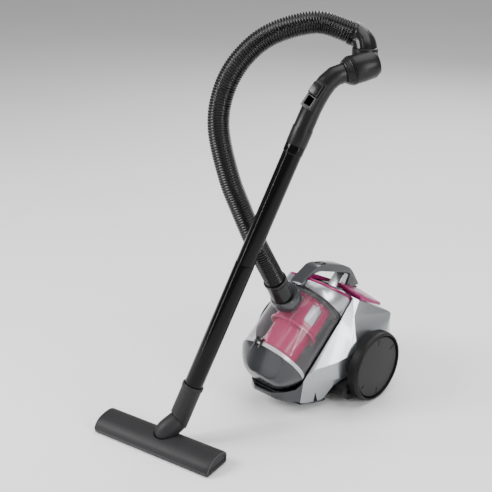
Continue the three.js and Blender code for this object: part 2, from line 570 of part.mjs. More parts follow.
function lid() {
  const wedge = acrossX([
    onBin(-80, CUP_TOP), onBin(80, CUP_TOP), onBin(80, LID_FRONT - 2.6), onBin(LID_R, LID_FRONT),
    onBin(4, LID_MIDDLE - 1), onBin(-80, LID_REAR),
  ], -90, 90);
  const plug = placed(bin, rod(LID_R, CUP_TOP, CUP_L + 60, 30)).intersect(wedge);
  add(bin, 'bin_lid', plug.subtract(placed(bin, rod(CUP_R - 4, CUP_L - 2, CUP_L + 12, 24))), SILVER);
  const seal = turned([[CUP_R - 7, CUP_L - 3], [CUP_R - 2.6, CUP_L - 3], [CUP_R - 2.6, CUP_L],
    [CUP_R - 7, CUP_L]], 28, true);
  add(bin, 'lid_seal', placed(bin, seal), RUBBER);
  add(bin, 'pre_motor_filter', placed(bin, rod(CUP_R - 8, CUP_L + 1.5, CUP_L + 11, 20)), FOAM);
  const plate = acrossX([
    onBin(LID_R, LID_FRONT + GAP), onBin(4, LID_MIDDLE - 1 + GAP), onBin(-66, LID_REAR), onBin(-66, LID_REAR + 2),
    onBin(2, LID_MIDDLE + 5), onBin(LID_R, LID_FRONT + 5.4),
  ], -90, 90);
  const trim = placed(bin, rod(LID_R - 1.5, CUP_TOP, CUP_L + 60, 30)).intersect(plate);
  add(bin, 'lid_trim', trim, MAGENTA);
  return trim.add(plug);
}

const BAR_TOP = [[-55, 272.5], [-41, 272], [-10, 264], [32, 250], [54, 237], [65, 224], [87, 189]];
const BAR_UNDER = [[40, 194], [56, 221.6], [47.6, 228], [17, 238.5], [-45, 260.5]];
const BUTTON = { y0: -36, y1: -18, half: 7 };

function carryHandle(lidSolid) {
  const half = HANDLE_W / 2;
  const front = LID_R + 0.8;
  const outline = [
    onBin(front, CUP_L - 5), onBin(front + 5, CUP_L - 6), onBin(front + 7, CUP_L + 2), ...BAR_TOP, ...BAR_UNDER,
    onBin(front - 1, LID_FRONT + 7), onBin(front, CUP_L + 14),
  ];
  const pocket = block(-BUTTON.half - GAP, BUTTON.half + GAP, BUTTON.y0 - GAP, BUTTON.y1 + GAP, 262, 300);
  const handle = acrossX(outline, -half, half, 5, 2).subtract(pocket);
  add(bin, 'carry_handle', handle, GUNMETAL);
  const button = acrossX([[BUTTON.y0, 265], [BUTTON.y1, 265], [BUTTON.y1, 268.4], [BUTTON.y0, 272]],
    -BUTTON.half, BUTTON.half, 1, 2);
  add(bin, 'release_button', button, BLACK);
  const column = acrossX([[12.8, 205.8], [39.6, 229.4], [46, 227.2], [54, 221], [37.6, 195.6]], -half + 2, half - 2);
  add(bin, 'handle_column', column, SILVER);
  const foot = acrossX([[-16, 212.4], [12.8, 205.2], [37.8, 194.2], [39.8, 193], [80, 187.2], [80, 184.6], [38, 185.6],
    [8, 199]], -half - 1, half + 1).subtract(lidSolid.translate([0, 0.2, 0.3])).subtract(lidSolid);
  const parts = foot.decompose().sort((a, b) => b.volume() - a.volume());
  add(bin, 'handle_foot', parts[0], CHARCOAL);
}

function inletElbow() {
  const outside = placed(bin, rod(CUP_R + GAP, -10, CUP_L + 80, 40));
  const mouth = aimed(rod(60, 8, 90, 8), cuffAxis, CUFF_AT);
  const socket = aimed(rod(CUFF_R + GAP, -8, 60, 24), cuffAxis, CUFF_AT);
  const duct = aimed(rod(13, 0, 40), binOut.clone().negate(), ELBOW_AT);
  const spigotTip = along([0, ...onBin(0, INLET_L)], binOut, CUP_R - 16);
  const spigot = aimed(rod(INLET_R, 0, 26), binOut, spigotTip.toArray());
  const spigotBore = aimed(rod(13, -5, 30), binOut, spigotTip.toArray());
  const made = ball(ELBOW_R, ELBOW_AT, 20).subtract(outside).add(spigot).subtract(spigotBore).subtract(duct)
    .subtract(mouth).subtract(socket);
  add(bin, 'inlet_elbow', made, GUNMETAL);
}

// ---------------------------------------------------------------- hose
function hosePieces() {
  const cuff = turned([
    [15, -7], [CUFF_R - 1.3, -7], [CUFF_R, 4], [CUFF_R - 0.8, CUFF_L - 8], [CUFF_R + 0.6, CUFF_L - 6],
    [CUFF_R + 0.6, CUFF_L], [15, CUFF_L],
  ], 24, true);
  add(hose, 'hose_cuff', placed(hose, cuff), BLACK);
  add(hose, 'hose_tube', tubeAlong(HOSE_POINTS, HOSE_R, 8, 30), GLOSS_BLACK);
  const sleeve = tubeAlong(SLEEVE_POINTS, HOSE_R + 1.5, 14, 8)
    .subtract(block(-300, 300, -400, 300, 0, COLLAR_TOP + GAP));
  const parts = sleeve.decompose().sort((a, b) => b.volume() - a.volume());
  add(hose, 'hose_sleeve', parts[0], BLACK);
}

// ---------------------------------------------------------------- hand grip and wand
const UPPER_R = TUBE_R - 0.5;        // upper wand tube
const SOCKET_L = 34;                 // where the lower tube ends inside the neck
const PLUG_L = 22;                   // length of the plugged ends
const FERRULE_L = 32;                // ferrule of the grip over the wand
const SLIDER_TURN = -35;             // degrees that the slider is turned round the grip
const SLIDER_LEAN = 35;              // lean of the suction slider's track
const SLIDER_AT = [39, 81];          // middle of the track in the wand's plane, from the grip's end

const drumProfile = (extra) => [
  [0, -DRUM_L / 2 - extra], [DRUM_R - 6 + extra, -DRUM_L / 2 - extra], [DRUM_R + extra - 1, -DRUM_L / 2 + 9],
  [DRUM_R + extra, 0], [DRUM_R + extra - 1, DRUM_L / 2 - 9], [DRUM_R - 6 + extra, DRUM_L / 2 + extra],
  [0, DRUM_L / 2 + extra],
];
const drumSolid = (extra) => aimed(turned(drumProfile(extra), 24), drumAxis, drumAt.toArray());

function grip() {
  const airway = rod(GRIP_R - 3.6, -DRUM_L, DRUM_L / 2 - 6, 14);
  const collar = rod(HOSE_R + 2, drumAt.z - 8, COLLAR_TOP, 20).translate([...COLLAR_AT, 0]);
  add(wand, 'swivel_drum', drumSolid(0).add(collar).subtract(aimed(airway, drumAxis, drumAt.toArray())), CHARCOAL);
  const slideAxis = leaning(SLIDER_LEAN);
  const slideUp = leaning(SLIDER_LEAN - 90).applyAxisAngle(slideAxis, radians(-SLIDER_TURN));
  const centre = gripAt.clone().addScaledVector(wandPlan, SLIDER_AT[0]).add(vec([0, 0, SLIDER_AT[1]]));
  const lateral = new THREE.Vector3().crossVectors(slideAxis, slideUp);
  const basis = new THREE.Matrix4().makeBasis(slideAxis, lateral.negate(), slideUp).setPosition(centre);
  const onTrack = (shape) => shape.transform(basis.elements);
  const track = onTrack(block(-27, 24, -11, 11, 8, 19.5));
  const wandEnd = aimed(rod(40, -40, GAP, 8), wandAxis, gripAt.toArray());
  const body = tubeAlong(gripPath, GRIP_R, 12, 9).subtract(wandEnd).subtract(drumSolid(GAP))
    .add(aimed(rod(GRIP_R + 0.9, GAP, FERRULE_L, 20), wandAxis, gripAt.toArray())).add(track);
  const bore = tubeAlong(gripPath, GRIP_R - 4, 12, 12);
  const ends = aimed(rod(GRIP_R - 4, -PLUG_L - 5, 12, 14), wandAxis, gripAt.toArray())
    .add(aimed(rod(GRIP_R - 4, -8, 12, 14), drumAxis, gripPath.at(-1).toArray()));
  const plug = aimed(rod(UPPER_R - TUBE_WALL - 0.3, -PLUG_L, 6, 20), wandAxis, gripAt.toArray());
  const slot = onTrack(block(-22, -6, -7, 7, 10, 30));
  add(wand, 'hand_grip', body.add(plug).subtract(bore).subtract(ends).subtract(slot), CHARCOAL);
  const tab = onTrack(acrossLocal([[-5, 19.9], [20, 19.9], [19, 25], [-1, 26.5]], 9.6));
  add(wand, 'suction_slider', tab, BLACK);
}

function acrossLocal(points, half) {
  const g = extruded(plainShape(points), half * 2, 2);
  return solid(g.rotateX(Math.PI / 2).translate(0, half, 0));
}

function wandTubes() {
  const upper = turned([
    [UPPER_R - TUBE_WALL, LOWER_END + GAP - 0.1], [UPPER_R - TUBE_WALL - 2, LOWER_END - 2],
    [UPPER_R - TUBE_WALL - 2, LOWER_END - PLUG_L], [UPPER_R - TUBE_WALL - 0.1, LOWER_END - PLUG_L],
    [UPPER_R - TUBE_WALL - 0.1, LOWER_END + GAP], [UPPER_R, LOWER_END + GAP], [UPPER_R, WAND_L - 16],
    [UPPER_R + 1, WAND_L - 14], [UPPER_R + 1, WAND_L], [UPPER_R - TUBE_WALL, WAND_L],
  ], 20, true);
  add(wand, 'upper_tube', placed(wand, upper), GLOSS_BLACK);
  const lower = turned([
    [TUBE_R - TUBE_WALL, SOCKET_L + GAP], [TUBE_R, SOCKET_L + GAP], [TUBE_R, LOWER_END],
    [TUBE_R - TUBE_WALL, LOWER_END],
  ], 20, true);
  add(wand, 'lower_tube', placed(wand, lower), GLOSS_BLACK);
  const sleeve = turned([
    [14, -30], [TUBE_R + 2, -30], [TUBE_R + 2, 30], [TUBE_R + 1.9, NECK_L - 10], [TUBE_R + 3, NECK_L - 6],
    [TUBE_R + 3, NECK_L], [TUBE_R + GAP, NECK_L], [TUBE_R + GAP, SOCKET_L], [14, SOCKET_L],
  ], 20, true);
  const below = aimed(rod(80, -120, GAP, 8), swivelAxis, NECK_AT);
  add(wand, 'neck_sleeve', placed(wand, sleeve).subtract(below), CHARCOAL);
}

// ---------------------------------------------------------------- floor head
const SOLE = { z0: 1.6, z1: 4 };
const KNUCKLE_R = 20.5;
const SLOT_HALF = KNUCKLE_R + 6.5;
const ROLLER_R = 4.5;
const BRUSH_ROWS = { front: 11, rear: 47 };

function headPieces() {
  const inHead = (point) => vec(point).applyMatrix4(floorHead.matrixWorld.clone().invert());
  const knuckleX = inHead(KNUCKLE_AT).x;
  const knuckleY = inHead(KNUCKLE_AT).y;
  const profile = (t) => [
    [t, SOLE.z1 + GAP - 3 * (t > 0)], [t, 9], [7 + t / 2, 18 - t], [19, 26 - t], [33, HEAD_H - 1 - t],
    [47, HEAD_H - t], [HEAD_D - 4 - t / 2, HEAD_H - 3 - t], [HEAD_D - t, 20], [HEAD_D - t, SOLE.z1 + GAP - 3 * (t > 0)],
  ];
  const slot = block(knuckleX - SLOT_HALF, knuckleX + SLOT_HALF, 12, HEAD_D + 20, -5, 60);
  const shell = acrossX(profile(0), 0, HEAD_W, 3, 2).subtract(acrossX(profile(2.5), 3, HEAD_W - 3))
    .subtract(slot);
  add(floorHead, 'head_shell', placed(floorHead, shell), CHARCOAL);
  let sole = block(1.5, HEAD_W - 1.5, 1.5, HEAD_D - 1.5, SOLE.z0, SOLE.z1)
    .subtract(block(34, HEAD_W - 34, 20, 36, -5, 10));
  Object.values(BRUSH_ROWS).forEach((y) => {
    sole = sole.subtract(block(34 - GAP, HEAD_W - 34 + GAP, y - GAP, y + 3 + GAP, -5, 10));
  });
  const rollerX = [14, HEAD_W - 22];
  const rollerY = HEAD_D - 9;
  rollerX.forEach((x) => {
    sole = sole.subtract(block(x - 1, x + 9, rollerY - 6, rollerY + 6, -5, 10));
  });
  add(floorHead, 'sole_plate', placed(floorHead, sole), GUNMETAL);
  Object.entries(BRUSH_ROWS).forEach(([row, y]) => {
    const strip = block(34, HEAD_W - 34, y, y + 3, 0, 8);
    add(floorHead, `brush_strip_${row}`, placed(floorHead, strip), BRISTLE);
  });
  ['left', 'right'].forEach((where, i) => {
    const roller = aimed(rod(ROLLER_R, 0, 8, 16), vec([1, 0, 0]), [rollerX[i], rollerY, ROLLER_R]);
    add(floorHead, `roller_${where}`, placed(floorHead, roller), RUBBER);
  });
  const pin = aimed(rod(2.5, -32, 32, 14), vec([1, 0, 0]), [knuckleX, knuckleY, TILT_Z]);
  add(floorHead, 'tilt_pin', placed(floorHead, pin), STEEL);
  const ring = vec(NECK_AT).distanceTo(vec(KNUCKLE_AT));
  const egg = turned([
    [0, -15], [8, -13.5], [14, -9.5], [18.5, -2], [KNUCKLE_R, 8], [KNUCKLE_R, 18], [KNUCKLE_R - 1, ring],
    [13, ring], [13, 2], [0, 0],
  ], 22);
  const pinHole = placed(floorHead, aimed(rod(2.9, -60, 60, 14), vec([1, 0, 0]), [knuckleX, knuckleY, TILT_Z]));
  add(floorHead, 'neck_knuckle', aimed(egg, swivelAxis, KNUCKLE_AT).subtract(pinHole), CHARCOAL);
}

// ---------------------------------------------------------------- the whole cleaner
bodyPieces();
chassis();
axleBracket('axle_bracket_left', -1);
axleBracket('axle_bracket_right', 1);
pedal('power_pedal', -1);
pedal('rewind_pedal', 1);
innerPieces();
rearWheel(-1, 'left');
rearWheel(1, 'right');
caster();
cup();
baseCap();
cyclone();
carryHandle(lid());
inletElbow();
hosePieces();
grip();
wandTubes();
headPieces();

const group = new THREE.Group();
const all = [canister, bin, hose, wand, floorHead];
all.forEach((part) => group.add(part));
group.updateMatrixWorld(true);

// The origin stands under the middle of everything but the hose.
const box = new THREE.Box3();
group.traverse((o) => {
  if (o.isMesh && !ON_CORD.includes(o.name)) box.expandByObject(o, true);
});
const centre = box.getCenter(new THREE.Vector3());
all.forEach((part) => part.position.sub(new THREE.Vector3(centre.x, centre.y, box.min.z)));

export default group;
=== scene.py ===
"""Bagless canister vacuum cleaner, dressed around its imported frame."""
import json
import logging
import math
from dataclasses import dataclass, field
from enum import Enum
from typing import Callable, Iterable, Sequence

import bmesh
import bpy
from mathutils import Matrix, Quaternion, Vector

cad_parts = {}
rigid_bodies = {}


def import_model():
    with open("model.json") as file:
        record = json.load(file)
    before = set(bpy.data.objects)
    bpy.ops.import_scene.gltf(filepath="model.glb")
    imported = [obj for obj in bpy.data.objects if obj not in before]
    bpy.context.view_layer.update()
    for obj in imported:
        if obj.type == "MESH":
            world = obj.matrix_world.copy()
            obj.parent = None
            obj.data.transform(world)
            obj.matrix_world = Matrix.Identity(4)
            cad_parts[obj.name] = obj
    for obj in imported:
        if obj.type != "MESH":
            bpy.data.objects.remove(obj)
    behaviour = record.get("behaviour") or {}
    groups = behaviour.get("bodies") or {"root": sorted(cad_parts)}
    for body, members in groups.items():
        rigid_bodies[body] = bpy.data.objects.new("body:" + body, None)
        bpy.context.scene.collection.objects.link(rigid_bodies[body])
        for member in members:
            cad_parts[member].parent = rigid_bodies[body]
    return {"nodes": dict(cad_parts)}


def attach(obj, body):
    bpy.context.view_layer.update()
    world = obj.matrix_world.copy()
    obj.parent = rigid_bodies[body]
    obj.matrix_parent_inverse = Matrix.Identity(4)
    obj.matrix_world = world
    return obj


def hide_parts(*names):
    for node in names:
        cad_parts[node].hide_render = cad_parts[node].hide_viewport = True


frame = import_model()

LOG = logging.getLogger("vacuum")
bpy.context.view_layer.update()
SHIFT = Vector((15.75, 169.9, 0.0))  # from the canister's own frame to the row frame, in mm
MM = 0.001
Point = Sequence[float]
Input = object


# ---------------------------------------------------------------- shader maths
class Sock:
    """A node's output socket that adds Math nodes when it is used in an expression."""

    def __init__(self, graph: "Graph", socket: bpy.types.NodeSocket) -> None:
        """Wraps one output socket of a graph."""
        self.graph = graph
        self.socket = socket

    def _math(self, operation: str, first: Input, second: Input) -> "Sock":
        """Adds one Math node."""
        return self.graph.node("ShaderNodeMath", {"operation": operation}, {0: first, 1: second})

    def __add__(self, other: Input) -> "Sock":
        """self + other."""
        return self._math("ADD", self, other)

    __radd__ = __add__

    def __sub__(self, other: Input) -> "Sock":
        """self - other."""
        return self._math("SUBTRACT", self, other)

    def __rsub__(self, other: Input) -> "Sock":
        """other - self."""
        return self._math("SUBTRACT", other, self)

    def __mul__(self, other: Input) -> "Sock":
        """self * other."""
        return self._math("MULTIPLY", self, other)

    __rmul__ = __mul__

    def over(self, limit: float) -> "Sock":
        """1 where self is greater than the limit."""
        return self._math("GREATER_THAN", self, limit)


class Graph:
    """The node tree of one material."""

    def __init__(self, name: str) -> None:
        """Starts an empty material."""
        self.material = bpy.data.materials.new(name)
        self.material.use_nodes = True
        self.tree = self.material.node_tree
        self.tree.nodes.clear()

    def node(self, kind: str, settings: dict | None = None, inputs: dict | None = None,
             out: int | str = 0) -> Sock:
        """Adds a node.

        Args:
            kind: the node's type.
            settings: its properties, set before its sockets; "stops" fills a colour ramp.
            inputs: values or links by socket name or number.
            out: the output that is returned.

        Returns:
            The chosen output.
        """
        made = self.tree.nodes.new(kind)
        for key, value in (settings or {}).items():
            if key == "stops":
                self._ramp(made.color_ramp, value)
            else:
                setattr(made, key, value)
        for key, value in (inputs or {}).items():
            if isinstance(value, Sock):
                self.tree.links.new(value.socket, made.inputs[key])
            else:
                made.inputs[key].default_value = value
        return Sock(self, made.outputs[out])

    @staticmethod
    def _ramp(ramp: bpy.types.ColorRamp, stops: Sequence[tuple[float, float]]) -> None:
        """Fills a ramp with grey stops of (place, value)."""
        while len(ramp.elements) < len(stops):
            ramp.elements.new(0.5)
        for element, (place, value) in zip(ramp.elements, stops):
            element.position = place
            element.color = (value, value, value, 1.0)

    def mix(self, factor: Input, first: Input, second: Input) -> Sock:
        """Mixes two colours."""
        return self.node("ShaderNodeMix", {"data_type": "RGBA"}, {0: factor, 6: first, 7: second}, 2)

    def noise(self, scale: float, detail: float = 3.0) -> Sock:
        """Noise over the object, with its scale per metre."""
        where = self.node("ShaderNodeTexCoord", out="Object")
        return self.node("ShaderNodeTexNoise", {}, {"Vector": where, "Scale": scale, "Detail": detail}, "Fac")

    def bump(self, height: Sock, distance: float, strength: float = 1.0, under: Sock | None = None) -> Sock:
        """A bump from a height between 0 and 1 and its depth in metres."""
        inputs: dict = {"Height": height, "Distance": distance, "Strength": strength}
        if under is not None:
            inputs["Normal"] = under
        return self.node("ShaderNodeBump", {}, inputs)

    def surface(self, shader: Sock) -> bpy.types.Material:
        """Ends the material with its shader."""
        out = self.tree.nodes.new("ShaderNodeOutputMaterial")
        self.tree.links.new(shader.socket, out.inputs["Surface"])
        return self.material


def rgba(color: Point, gain: float = 1.0) -> tuple[float, float, float, float]:
    """A colour with alpha 1, made lighter or darker."""
    return (color[0] * gain, color[1] * gain, color[2] * gain, 1.0)


@dataclass(frozen=True)
class Moulded:
    """Moulded plastic, rubber or painted plastic with grain, uneven gloss and slight mottling."""

    name: str
    color: tuple[float, float, float]
    rough: float = 0.4
    uneven: float = 0.08
    metallic: float = 0.0
    coat: float = 0.0
    grain: float = 900.0
    depth: float = 0.00004
    mottle: float = 0.12
    dust: float = 0.0
    specular: float = 0.22

    def build(self) -> bpy.types.Material:
        """Makes the material.

        Returns:
            The finished material.
        """
        graph = Graph(self.name)
        broad = graph.noise(14.0)
        fine = graph.noise(self.grain, 2.0)
        base = graph.mix(broad, rgba(self.color, 1.0 - self.mottle), rgba(self.color, 1.0 + self.mottle))
        if self.dust:
            specks = graph.noise(420.0, 4.0).over(0.66)
            base = graph.mix(specks * self.dust, base, (0.35, 0.34, 0.33, 1.0))
        gloss = (broad - 0.5) * self.uneven + (fine - 0.5) * (self.uneven * 0.5) + self.rough
        smear = graph.noise(70.0, 4.0)
        shader = graph.node("ShaderNodeBsdfPrincipled", {}, {
            "Base Color": base,
            "Roughness": gloss + (smear - 0.5) * (self.uneven * 0.6),
            "Metallic": self.metallic,
            "Specular IOR Level": self.specular,
            "Coat Weight": self.coat,
            "Coat Roughness": 0.08,
            "Normal": graph.bump(fine, self.depth, under=graph.bump(broad, 0.00012)),
        })
        return graph.surface(shader)


@dataclass(frozen=True)
class SilverPaint:
    """Silver metallic paint with a fine flake, and painted shade that darkens the bin's cradle."""

    name: str
    color: tuple[float, float, float]
    # Painted shade: a dark, dull colour that stands for the shade in the cradle round the bin.
    lining: tuple[float, float, float] = (0.012, 0.012, 0.014)
    rough: float = 0.26
    reach: float = 0.0729
    rear: float = 0.1895

    def build(self) -> bpy.types.Material:
        """Makes the material.

        Returns:
            The finished material.
        """
        graph = Graph(self.name)
        broad, flakes = graph.noise(10.0), graph.noise(2600.0, 0.0)
        paint = graph.mix(broad, rgba(self.color, 0.96), rgba(self.color, 1.04))
        paint = graph.mix(flakes.over(0.62) * 0.3, paint, rgba(self.color, 1.5))
        shell = self._outside(graph)
        shader = graph.node("ShaderNodeBsdfPrincipled", {}, {
            # Painted shade: the cradle gets the dark colour, no metal and no coat where the mask is 0.
            "Base Color": graph.mix(shell, rgba(self.lining), paint),
            "Roughness": shell * (self.rough - 0.5) + (broad - 0.5) * 0.05 + 0.5,
            "Metallic": shell * 0.82,
            "Coat Weight": shell * 0.6,
            "Coat Roughness": 0.05,
            "Normal": graph.bump(graph.noise(7.0, 1.0), 0.0006, under=graph.bump(flakes, 0.00001)),
        })
        return graph.surface(shader)

    def _outside(self, graph: Graph) -> Sock:
        """0 between the cradle's side walls and below its rear wall, where the shade is painted, 1 elsewhere."""
        foot = (Vector(BIN.at) + SHIFT) * MM
        where = graph.node("ShaderNodeTexCoord", out="Object")
        offset = graph.node("ShaderNodeVectorMath", {"operation": "SUBTRACT"}, {0: where, 1: tuple(foot)})
        sideways, depth, height = (
            graph.node("ShaderNodeVectorMath", {"operation": "DOT_PRODUCT"}, {0: offset, 1: tuple(axis)}, "Value")
            for axis in (BIN.turn @ Vector(unit) for unit in ((1, 0, 0), (0, 1, 0), (0, 0, 1))))
        deep = depth * depth.over(0.0)
        within = 1.0 - (sideways * sideways + deep * deep).over(self.reach * abs(self.reach))
        return 1.0 - within * (1.0 - height.over(self.rear))


@dataclass(frozen=True)
class ClearPlastic:
    """Clear moulded cup: mostly seen through, with its own sharp reflections and faint haze."""

    name: str
    tint: tuple[float, float, float]
    haze: float = 0.03

    def build(self) -> bpy.types.Material:
        """Makes the material.

        Returns:
            The finished material.
        """
        graph = Graph(self.name)
        cloud = graph.noise(60.0, 4.0)
        shine = graph.node("ShaderNodeBsdfPrincipled", {}, {
            "Base Color": graph.mix(cloud, rgba(self.tint, 0.3), rgba(self.tint, 0.42)),
            "Roughness": cloud * 0.05 + 0.03,
            "Specular IOR Level": 1.0,
            "Coat Weight": 1.0,
            "Normal": graph.bump(cloud, 0.00008),
        })
        clear = graph.node("ShaderNodeBsdfTransparent", {}, {"Color": rgba(self.tint)})
        facing = graph.node("ShaderNodeLayerWeight", {}, {"Blend": 0.5}, "Facing")
        factor = facing * facing * facing * 0.55 + cloud * self.haze + 0.07
        return graph.surface(graph.node("ShaderNodeMixShader", {}, {0: factor, 1: clear, 2: shine}))


class Finishes:
    """Builds each finish once and hands it out by its slot."""

    def __init__(self, every: Iterable[Moulded | ClearPlastic]) -> None:
        """Builds the materials."""
        self.made = {one.name: one.build() for one in every}

    def __getitem__(self, name: str) -> bpy.types.Material:
        """The material of a slot."""
        return self.made[name]


# ---------------------------------------------------------------- places and shapes
@dataclass(frozen=True)
class Place:
    """A frame in the canister's millimetres."""

    at: tuple[float, float, float]
    turn: Quaternion = field(default_factory=Quaternion)

    @property
    def matrix(self) -> Matrix:
        """From this frame in millimetres to the row frame in metres."""
        moved = Matrix.Translation(Vector(self.at) + SHIFT)
        return Matrix.Diagonal((MM, MM, MM, 1.0)) @ moved @ self.turn.to_matrix().to_4x4()


def facing(direction: Point) -> Quaternion:
    """The turn that takes +Z to a direction."""
    return Vector((0.0, 0.0, 1.0)).rotation_difference(Vector(direction).normalized())


def polar(radius: float, degrees: float) -> tuple[float, float]:
    """A point on a circle."""
    angle = math.radians(degrees)
    return radius * math.cos(angle), radius * math.sin(angle)


def catmull(points: Sequence[Point], steps: int) -> list[Vector]:
    """A smooth route through points, evenly spaced.

    Args:
        points: the points it passes through.
        steps: the number of equal steps.

    Returns:
        steps + 1 points.
    """
    knots = [Vector(p) for p in points]
    knots = [2 * knots[0] - knots[1], *knots, 2 * knots[-1] - knots[-2]]
    dense: list[Vector] = []
    for before, start, end, after in zip(knots, knots[1:], knots[2:], knots[3:]):
        gaps = [max((b - a).length, 1e-6) ** 0.5 for a, b in ((before, start), (start, end), (end, after))]
        first, middle, last = gaps
        leave = ((start - before) / first - (end - before) / (first + middle) + (end - start) / middle) * middle
        arrive = ((end - start) / middle - (after - start) / (middle + last) + (after - end) / last) * middle
        for i in range(40):
            t = i / 40
            dense.append((2 * t**3 - 3 * t**2 + 1) * start + (t**3 - 2 * t**2 + t) * leave
                         + (3 * t**2 - 2 * t**3) * end + (t**3 - t**2) * arrive)
    dense.append(knots[-2])
    return even(dense, steps)


def even(dense: Sequence[Vector], steps: int) -> list[Vector]:
    """The same route with equal steps."""
    lengths = [0.0]
    for a, b in zip(dense, dense[1:]):
        lengths.append(lengths[-1] + (b - a).length)
    out: list[Vector] = []
    index = 0
    for i in range(steps + 1):
        want = lengths[-1] * i / steps
        while index < len(dense) - 2 and lengths[index + 1] < want:
            index += 1
        span = max(lengths[index + 1] - lengths[index], 1e-9)
        out.append(dense[index].lerp(dense[index + 1], (want - lengths[index]) / span))
    return out


def rounded_corners(points: Sequence[tuple[float, float]], radius: float,
                    closed: bool) -> list[tuple[float, float]]:
    """A profile with its corners rounded.

    Args:
        points: the corners.
        radius: how far from each corner the round starts, at most.
        closed: whether the last corner joins the first.

    Returns:
        The profile with three points in place of each corner.
    """
    count = len(points)
    out: list[tuple[float, float]] = []
    for i, point in enumerate(points):
        if not closed and i in (0, count - 1):
            out.append(tuple(point))
            continue
        corner = Vector(point)
        before, after = Vector(points[i - 1]), Vector(points[(i + 1) % count])
        cut = [min(radius, 0.4 * (other - corner).length) for other in (before, after)]
        start = corner + (before - corner).normalized() * cut[0]
        end = corner + (after - corner).normalized() * cut[1]
        for t in (0.0, 0.33, 0.67, 1.0):
            out.append(tuple(start.lerp(corner, t).lerp(corner.lerp(end, t), t)))
    return out


